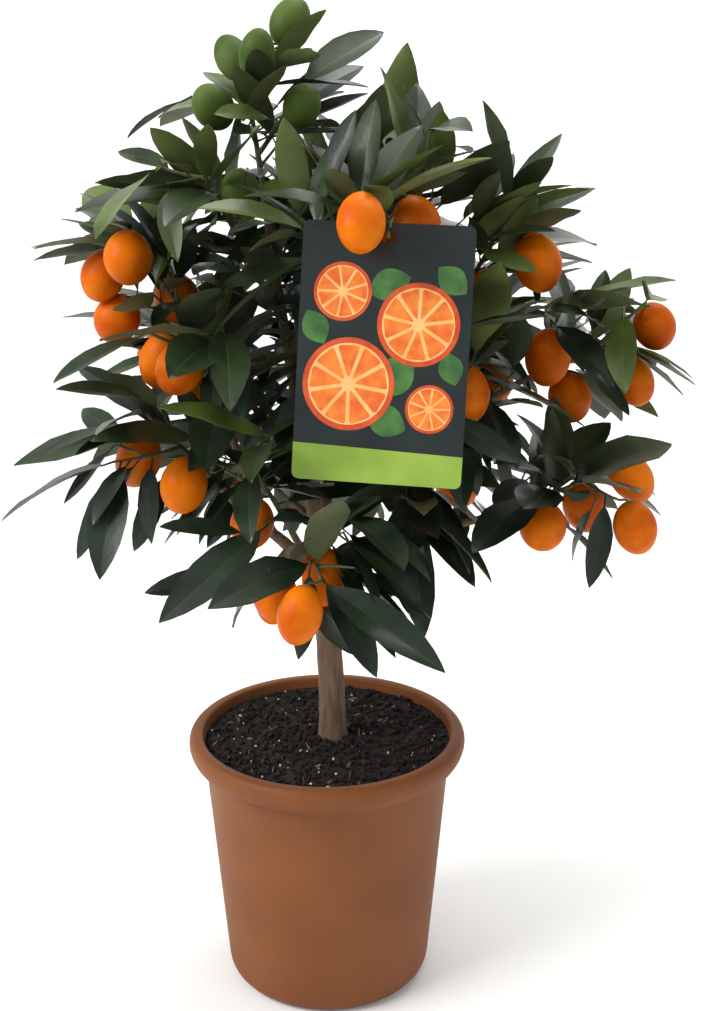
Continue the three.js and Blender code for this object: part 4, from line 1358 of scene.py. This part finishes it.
# The ranges in which blades differ, and the stalk, which runs a little way in under its blade.
BLADE_FOLD = (0.5, 1.25)
BLADE_WAVE = (0, 0.1)
BLADE_WAVES = (1.5, 2.6)
BLADE_SWAY = (-0.07, 0.07)
BLADE_TWIST = (-22, 22)
TWIST_INWARD = 0.3
STALK_END = LEAF_STALK + 1.5
STALK_RADIUS = 0.75
STALK_END_RADIUS = 0.6
STALK_SAG = 0.25
LEAF_CREASE = radians(75)
# How a leaf's place and chance pick its tone: high and outer leaves are younger and
# painted lighter as sunlit, low and inner ones older and painted darker as shaded.
AGE_AND_LIGHT_BY_HEIGHT = 0.75
AGE_AND_LIGHT_BY_REACH = 0.35
AGE_AND_LIGHT_RANGE = (-0.3, 0.3)
YOUNG_SUNLIT_FROM = 0.8
MIDDLE_HALF_LIT_FROM = 0.52
SKIN, MIDRIB, UNDERSIDE = 0, 1, 2


def leaf_faces():
    """One leaf's faces and their material: blade above, midrib, blade beneath and stalk."""
    columns = len(BLADE_COLUMNS)
    width = columns + len(BENEATH_COLUMNS)
    beneath = [0, *range(columns, width), columns - 1]
    faces, slots = [], []
    last = (len(BLADE_SHARES) - 1) * width
    for row in range(0, last, width):
        for c in range(columns - 1):
            faces.append((row + c, row + c + 1, row + width + c + 1, row + width + c))
            slots.append(MIDRIB if c == columns // 2 - 1 else SKIN)
        for left, right in zip(beneath, beneath[1:]):
            faces.append((row + left, row + width + left, row + width + right, row + right))
            slots.append(UNDERSIDE)
    around = [*range(columns), *range(width - 1, columns - 1, -1)]
    faces.append(tuple(reversed(around)))
    faces.append(tuple(last + i for i in around))
    slots += [MIDRIB, MIDRIB]
    root = last + width
    for j in range(4):
        k = (j + 1) % 4
        faces.append((root + j, root + k, root + 4 + k, root + 4 + j))
    faces.append((root + 3, root + 2, root + 1, root))
    faces.append((root + 4, root + 5, root + 6, root + 7))
    slots += [MIDRIB] * 6
    return faces, slots


def leaf_corners(leaf, draw):
    """One leaf's corners: its blade folded, arched, waved and twisted a little, then its stalk."""
    shares = np.repeat(BLADE_SHARES, len(BLADE_COLUMNS) + len(BENEATH_COLUMNS))
    columns = np.tile((*BLADE_COLUMNS, *BENEATH_COLUMNS), len(BLADE_SHARES))
    beneath = np.tile([0] * len(BLADE_COLUMNS) + [1] * len(BENEATH_COLUMNS), len(BLADE_SHARES))
    length = leaf.length * LEAF_SHORTNESS
    half = leaf.width / 2 * LEAF_SLIMNESS * np.maximum(leaf_outline(shares), BLADE_LEAST)
    fold = LEAF_FOLD * between(draw, *BLADE_FOLD)
    wave_height = between(draw, *BLADE_WAVE)
    wave = wave_height * np.sin(2 * pi * (between(draw, *BLADE_WAVES) * shares + draw()))
    sway = between(draw, *BLADE_SWAY) * length * shares**2
    rise = half * (np.abs(columns) * fold + columns * wave)
    rise = rise - leaf.arch * length * shares**2 - LEAF_THICKNESS * beneath
    across = columns * half + sway
    twist = radians(between(draw, *BLADE_TWIST)) * shares
    lateral = across * np.cos(twist) - rise * np.sin(twist) * TWIST_INWARD
    vertical = rise + across * np.sin(twist)
    heading, face = np.array(leaf.heading), np.array(leaf.face)
    side = np.cross(heading, face)
    place = np.array(leaf.place)
    ahead = LEAF_STALK + length * shares
    blade = place + ahead[:, None] * heading + lateral[:, None] * side + vertical[:, None] * face
    stalk = []
    for distance, radius in ((0, STALK_RADIUS), (STALK_END, STALK_END_RADIUS)):
        middle = place + heading * distance - face * (STALK_SAG * distance / LEAF_STALK)
        stalk += [middle + radius * way for way in (side, face, -side, -face)]
    return np.concatenate((blade, stalk))


def leaf_age_and_light(leaf, draw):
    """Leaves near the top and the outside of the crown are younger and painted lighter as sunlit, and
    leaves below are older and painted darker as shaded.
    """
    tip = leaf.place + leaf.heading * leaf.length
    out = hypot(tip.x - CROWN_CENTRE, tip.y) / CROWN_HALF_WIDTH
    height = AGE_AND_LIGHT_BY_HEIGHT * (tip.z - CROWN_FLOOR) / (CROWN_TOP - CROWN_FLOOR)
    # How much painted light a leaf gets: more high up and further out, with some chance.
    light = height + AGE_AND_LIGHT_BY_REACH * out + between(draw, *AGE_AND_LIGHT_RANGE)
    if light > YOUNG_SUNLIT_FROM:
        return "young_sunlit"
    return "middle" if light > MIDDLE_HALF_LIT_FROM else "mature_shaded"


def make_leaves():
    """All leaves of one tone tier, from sunlit younger ones to shaded older ones, are one piece."""
    draw = stream(SEED * SEED_STEP + BLADE_SEED)
    faces, slots = leaf_faces()
    sprays = {age_and_light: [] for age_and_light in LEAF_FINISHES}
    for leaf in canopy.leaves:
        sprays[leaf_age_and_light(leaf, draw)].append(leaf_corners(leaf, draw))
    for age_and_light, spray in sprays.items():
        name = "leaves_" + age_and_light
        bases = range(0, len(spray) * len(spray[0]), len(spray[0]))
        every = [tuple(i + base for i in face) for base in bases for face in faces]
        mesh = joined(name, np.concatenate(spray), every, slots * len(spray), LEAF_CREASE)
        new_piece(name, mesh, LEAF_FINISHES[age_and_light], foliage_nodes)


# ---- Fruit ----

# Shares of a fruit's half length or half width, and the calyx, its size in millimetres.
FRUIT_SEGMENTS = (24, 16)
FRUIT_BELLY = 0.06
FRUIT_POLE = 0.999
STALK_DIMPLE = 0.94
FRUIT_TIP = 0.985
FRUIT_CREASE = radians(50)
CALYX_SIZE = (3.4, 3.4, 3.0)
CALYX_PLACE = 0.97
CALYX_SIDES = 10
CALYX_DEPTH = 0.5
CALYX_NECK = 0.45
CALYX_NOTCH = 0.62


def fruit_template():
    """An oval fruit of half length and half width 1, with its stalk end down the -Z side."""
    bm = bmesh.new()
    around, along = FRUIT_SEGMENTS
    bmesh.ops.create_uvsphere(bm, u_segments=around, v_segments=along, radius=1)
    for vert in bm.verts:
        z = vert.co.z
        fuller = 1 + FRUIT_BELLY * (1 - z * z)
        vert.co.x *= fuller
        vert.co.y *= fuller
        if z < -FRUIT_POLE:
            vert.co.z = -STALK_DIMPLE
        if z > FRUIT_POLE:
            vert.co.z = FRUIT_TIP
    bmesh.ops.recalc_face_normals(bm, faces=bm.faces)
    return arrays_of(bm)


def calyx_template():
    """The small green star between a fruit and its stalk."""
    bm = bmesh.new()
    bmesh.ops.create_cone(
        bm, cap_ends=True, segments=CALYX_SIDES, radius1=1, radius2=CALYX_NECK, depth=CALYX_DEPTH
    )
    for number, vert in enumerate(bm.verts):
        if vert.co.z < 0 and number % 2:
            vert.co.x *= CALYX_NOTCH
            vert.co.y *= CALYX_NOTCH
    corners, faces = arrays_of(bm)
    return corners * [1, 1, -1], [face[::-1] for face in faces]


def make_fruit(name, fruits, peel):
    """Fruit of one colour, each with its calyx, joined into one piece."""
    shapes = (fruit_template(), calyx_template())
    corners, faces, slots = [], [], []
    base = 0
    for fruit in fruits:
        heading = fruit.heading
        side = side_of(heading, 0)
        turn = np.array([side, heading.cross(side), heading])
        body = ((fruit.wide, fruit.wide, fruit.half), fruit.centre)
        calyx = (CALYX_SIZE, fruit.centre - heading * fruit.half * CALYX_PLACE)
        for kind, ((shape, shape_faces), (size, place)) in enumerate(zip(shapes, (body, calyx))):
            corners.append(shape * size @ turn + np.array(place))
            faces += [tuple(i + base for i in face) for face in shape_faces]
            slots += [kind] * len(shape_faces)
            base += len(shape)
    mesh = joined(name, np.concatenate(corners), faces, slots, FRUIT_CREASE)
    new_piece(name, mesh, [peel, calyx_green], foliage_nodes)


# ---- Card ----

# Wedges are in shares of their slice's radius, and the cutter's depth is in metres.
CARD_CORNER_SEGMENTS = 5
HOLE_SEGMENTS = 28
HOLE_CUTTER_DEPTH = 0.02
BAND_SLOPE = 0.03
SLICE_SEGMENTS = 48
PITH_SHARE = 0.88
WEDGES = 9
WEDGE_START = 0.11
WEDGE_LENGTH = 0.72
WEDGE_WIDTH = 0.74
WEDGE_ROUNDING = 0.08
WEDGE_ROUNDING_SEGMENTS = 4
# A triangle with its corners on a circle of radius 1.
TRIANGLE_HEIGHT = 1.5
TRIANGLE_HALF_SIDE = 0.866
CARD_LEAF_SEGMENTS = 32
CARD_LEAF_WIDTH = 0.72


def round_corners(bm, corners, radius, segments):
    """Rounds flat work at its corners."""
    bmesh.ops.bevel(
        bm,
        geom=corners,
        offset=radius,
        offset_type="OFFSET",
        affect="VERTICES",
        segments=segments,
        profile=0.5,
        material=-1,
    )


def card_face():
    """The card's outline with its rounded corners, lying flat at the origin in millimetres."""
    bm = bmesh.new()
    bmesh.ops.create_grid(bm, x_segments=1, y_segments=1, size=0.5)
    bmesh.ops.scale(bm, vec=(CARD_WIDTH, CARD_HEIGHT, 1), verts=bm.verts)
    round_corners(bm, bm.verts, CARD_CORNER, CARD_CORNER_SEGMENTS)
    return bm


def with_hole(mesh):
    """The plate's mesh with the tie's hole cut through it, its edge sharp from the flat cutter."""
    bm = bmesh.new()
    radius = CARD_HOLE_RADIUS * MM
    bmesh.ops.create_cone(
        bm,
        cap_ends=True,
        segments=HOLE_SEGMENTS,
        radius1=radius,
        radius2=radius,
        depth=HOLE_CUTTER_DEPTH,
    )
    bmesh.ops.rotate(bm, matrix=Matrix.Rotation(pi / 2, 3, "X"), verts=bm.verts)
    bmesh.ops.translate(bm, vec=(0, 0, (CARD_HEIGHT / 2 - CARD_HOLE_DROP) * MM), verts=bm.verts)
    bmesh.ops.transform(bm, matrix=card_place @ Matrix.Scale(1 / MM, 4), verts=bm.verts)
    tool = bpy.data.meshes.new("hole_cutter")
    bm.to_mesh(tool)
    bm.free()
    cutter = in_scene("hole_cutter", tool)
    blank = in_scene("card_blank", mesh)
    modifier = blank.modifiers.new("hole", "BOOLEAN")
    modifier.operation = "DIFFERENCE"
    modifier.solver = "EXACT"
    modifier.object = cutter
    cut = shown_mesh(blank)
    for helper in (cutter, blank):
        bpy.data.objects.remove(helper)
    cut.materials.clear()
    return cut


def stand_on_card(bm, front):
    """Turns flat work upright on the card, its face at a distance in front of the card's middle."""
    bmesh.ops.rotate(bm, matrix=Matrix.Rotation(pi / 2, 3, "X"), verts=bm.verts)
    bmesh.ops.translate(bm, vec=(0, -front, 0), verts=bm.verts)
    bmesh.ops.transform(bm, matrix=card_place, verts=bm.verts)


def thicken(bm, depth):
    """Gives flat faces a depth behind them, and turns every face outwards."""
    for face in bm.faces:
        if face.normal.z < 0:
            face.normal_flip()
    made = bmesh.ops.extrude_face_region(bm, geom=list(bm.faces))["geom"]
    bmesh.ops.translate(bm, vec=(0, 0, depth), verts=corners_of(made))
    bmesh.ops.recalc_face_normals(bm, faces=bm.faces)


def make_card():
    bm = card_face()
    thicken(bm, CARD_THICKNESS)
    stand_on_card(bm, -CARD_THICKNESS / 2)
    plate = with_hole(mesh_from(bm, "card_plate"))
    new_piece("card_plate", plate, [night_ink], ["card"])


def printed(name, bm, layer, material):
    """One flat shape of print on the card's face; a higher layer lies over a lower one."""
    thicken(bm, PRINT_STEP)
    stand_on_card(bm, CARD_THICKNESS / 2 + PRINT_STEP * layer)
    new_piece(name, mesh_from(bm, name), [material])


def make_band():
    """The light band along the foot of the card."""
    bm = card_face()
    bmesh.ops.bisect_plane(
        bm,
        geom=list(bm.verts) + list(bm.edges) + list(bm.faces),
        plane_co=(0, CARD_BAND - CARD_HEIGHT / 2, 0),
        plane_no=(BAND_SLOPE, 1, 0),
        clear_outer=True,
    )
    printed("card_band", bm, 0, band_ink)


def disc(bm, x, y, radius):
    place = Matrix.Translation((x, y, 0))
    bmesh.ops.create_circle(bm, cap_ends=True, segments=SLICE_SEGMENTS, radius=radius, matrix=place)


def citrus_wedges(bm, x, y, radius, turn):
    """The segments of a cut citrus fruit, each a triangle with rounded corners."""
    centre = Matrix.Translation((x, y, 0))
    shift = Matrix.Translation((WEDGE_START * radius, 0, 0))
    size = Matrix.Diagonal((WEDGE_LENGTH * radius, WEDGE_WIDTH * radius * sin(pi / WEDGES), 1, 1))
    for number in range(WEDGES):
        wedge = bmesh.ops.create_circle(bm, cap_ends=True, segments=3, radius=1)["verts"]
        for vert in wedge:
            ahead = (1 - vert.co.y) / TRIANGLE_HEIGHT
            vert.co.x, vert.co.y = ahead, vert.co.x / TRIANGLE_HALF_SIDE
        spun = Matrix.Rotation(turn + 2 * pi * number / WEDGES, 4, "Z")
        bmesh.ops.transform(bm, matrix=centre @ spun @ shift @ size, verts=wedge)
        round_corners(bm, wedge, WEDGE_ROUNDING * radius, WEDGE_ROUNDING_SEGMENTS)


def card_leaf(bm, x, y, length, turn):
    """A plain pointed leaf, drawn from a circle."""
    made = bmesh.ops.create_circle(bm, cap_ends=True, segments=CARD_LEAF_SEGMENTS, radius=0.5)["verts"]
    for vert in made:
        pointed = (1 - (2 * vert.co.x) ** 2) ** 0.5 if abs(vert.co.x) < 0.5 else 0
        vert.co.y *= CARD_LEAF_WIDTH * pointed
    place = Matrix.Translation((x, y, 0)) @ Matrix.Rotation(turn, 4, "Z") @ Matrix.Scale(length, 4)
    bmesh.ops.transform(bm, matrix=place, verts=made)


# Citrus slices on the card: across, up, radius, turn; and leaves: across, up, length, turn.
SLICES = [(-19, -18, 27, 0.2), (20, 18, 24, 0.5), (-25, 35, 17, 0.0), (29, -30, 14, 0.4)]
CARD_LEAVES = [
    (8, -12, 30, 0.9),
    (-40, 14, 22, 2.1),
    (2, 40, 26, 0.4),
    (38, 44, 22, -0.7),
    (4, -38, 26, -0.4),
    (40, -6, 20, 1.9),
]


def make_print():
    make_band()
    leaves = bmesh.new()
    for row in CARD_LEAVES:
        card_leaf(leaves, *row)
    printed("card_leaves", leaves, 0, leaf_ink)
    rind, pith, pulp = bmesh.new(), bmesh.new(), bmesh.new()
    for x, y, radius, turn in SLICES:
        disc(rind, x, y, radius)
        disc(pith, x, y, PITH_SHARE * radius)
        citrus_wedges(pulp, x, y, radius, turn)
    printed("card_rind", rind, 1, rind_ink)
    printed("card_pith", pith, 2, pith_ink)
    printed("card_pulp", pulp, 3, pulp_ink)


def make_tie():
    """A round cord of plastic-skinned wire along the tie's knots."""
    curve = bpy.data.curves.new("card_tie_path", "CURVE")
    curve.dimensions = "3D"
    curve.bevel_depth = TIE_RADIUS * MM
    curve.bevel_resolution = 3
    curve.resolution_u = 8
    curve.use_fill_caps = True
    knots = tie_knots()
    path = curve.splines.new("BEZIER")
    path.bezier_points.add(len(knots) - 1)
    for point, knot in zip(path.bezier_points, knots):
        point.co = knot * MM
        point.handle_left_type = "AUTO"
        point.handle_right_type = "AUTO"
    drawn = in_scene("card_tie_path", curve)
    mesh = shown_mesh(drawn)
    bpy.data.objects.remove(drawn)
    mesh.materials.clear()
    new_piece("twist_tie", mesh, [tie_plastic], ["card_tie"])


# ---- The tree ----

make_pot()
make_soil()
scatter("soil_crumbs", 1500, (0.9, 2.6), peat, 11)
scatter("soil_fibres", 55, (0.9, 1.4), bark, 12, flatness=0.4, stretch=4.5)
scatter("perlite_grains", 110, (0.5, 1.3), perlite, 13)
make_limbs()
make_wood_of_foliage()
make_leaves()
ripe = [fruit for fruit in canopy.fruits if fruit.owner not in UNRIPE]
unripe = [fruit for fruit in canopy.fruits if fruit.owner in UNRIPE]
make_fruit("ripe_fruit", ripe, ripe_peel)
make_fruit("unripe_fruit", unripe, green_peel)
make_card()
make_print()
make_tie()

# ---- Floor, light and camera ----

# The floor's side view in metres, front to back, and how far it runs to each side.
SWEEP = [(-4, 0.0), (1.2, 0.0), (1.6, 0.06), (1.9, 0.24), (2.08, 0.55), (2.15, 1.0), (2.15, 4.0)]
SWEEP_HALF_WIDTH = 4
CROWN_HEART = (0, 0, 0.42)
BEHIND_THE_POT = (0.5, 1.7, 0.0)
SOFT_AIR = 0.6
CAMERA_PLACE = (0.0252, -0.9153, 0.6289)
CAMERA_PITCH = 0.288
CAMERA_LENS = 49.14
SENSOR_HEIGHT = 36


def make_stage():
    """A pale floor that sweeps up into a backdrop."""
    bm = bmesh.new()
    rows = [bm.verts.new((-SWEEP_HALF_WIDTH, y, z)) for y, z in SWEEP]
    edges = [bm.edges.new(pair) for pair in zip(rows, rows[1:])]
    made = bmesh.ops.extrude_edge_only(bm, edges=edges)["geom"]
    bmesh.ops.translate(bm, vec=(2 * SWEEP_HALF_WIDTH, 0, 0), verts=corners_of(made))
    bmesh.ops.recalc_face_normals(bm, faces=bm.faces)
    # Matt studio paper: an even near-white.
    paper, shader = finish("studio_paper", "#f2f1ee", 0.9)
    mottle(paper, shader, ("#f0efec", "#f5f4f1"), 400)
    mesh = mesh_from(bm, "studio_sweep")
    mesh.materials.append(paper)
    sweep = in_scene("studio_sweep", mesh)


def softbox(name, place, size, power, target=CROWN_HEART):
    """A square studio light, its size in metres and its power in watts, that faces a place."""
    light = bpy.data.lights.new(name, "AREA")
    light.shape = "SQUARE"
    light.size = size
    light.energy = power
    lamp = in_scene(name, light)
    lamp.location = place
    lamp.rotation_euler = (Vector(target) - Vector(place)).to_track_quat("-Z", "Y").to_euler()


def make_air():
    """Even light from all round."""
    world = bpy.data.worlds.new("studio_air")
    world.use_nodes = True
    background = world.node_tree.nodes["Background"]
    background.inputs["Color"].default_value = linear("#eef2f7")
    background.inputs["Strength"].default_value = SOFT_AIR
    bpy.context.scene.world = world


def make_camera():
    """The camera looks level along +Y and a little down onto the pot."""
    data = bpy.data.cameras.new("camera")
    data.sensor_fit = "VERTICAL"
    data.sensor_height = SENSOR_HEIGHT
    data.lens = CAMERA_LENS
    camera = in_scene("camera", data)
    camera.location = CAMERA_PLACE
    camera.rotation_euler = (pi / 2 - CAMERA_PITCH, 0, 0)
    bpy.context.scene.camera = camera


make_stage()
softbox("key_softbox", (-1.5, -0.75, 1.55), 1.2, 44)
softbox("fill_softbox", (1.5, -1.0, 0.9), 1.4, 5)
softbox("top_softbox", (0.1, 0.1, 2.3), 1.4, 15)
softbox("backdrop_softbox", (0.7, 0.9, 2.4), 1.2, 30, BEHIND_THE_POT)
make_air()
make_camera()
bpy.context.scene.view_settings.view_transform = "Standard"
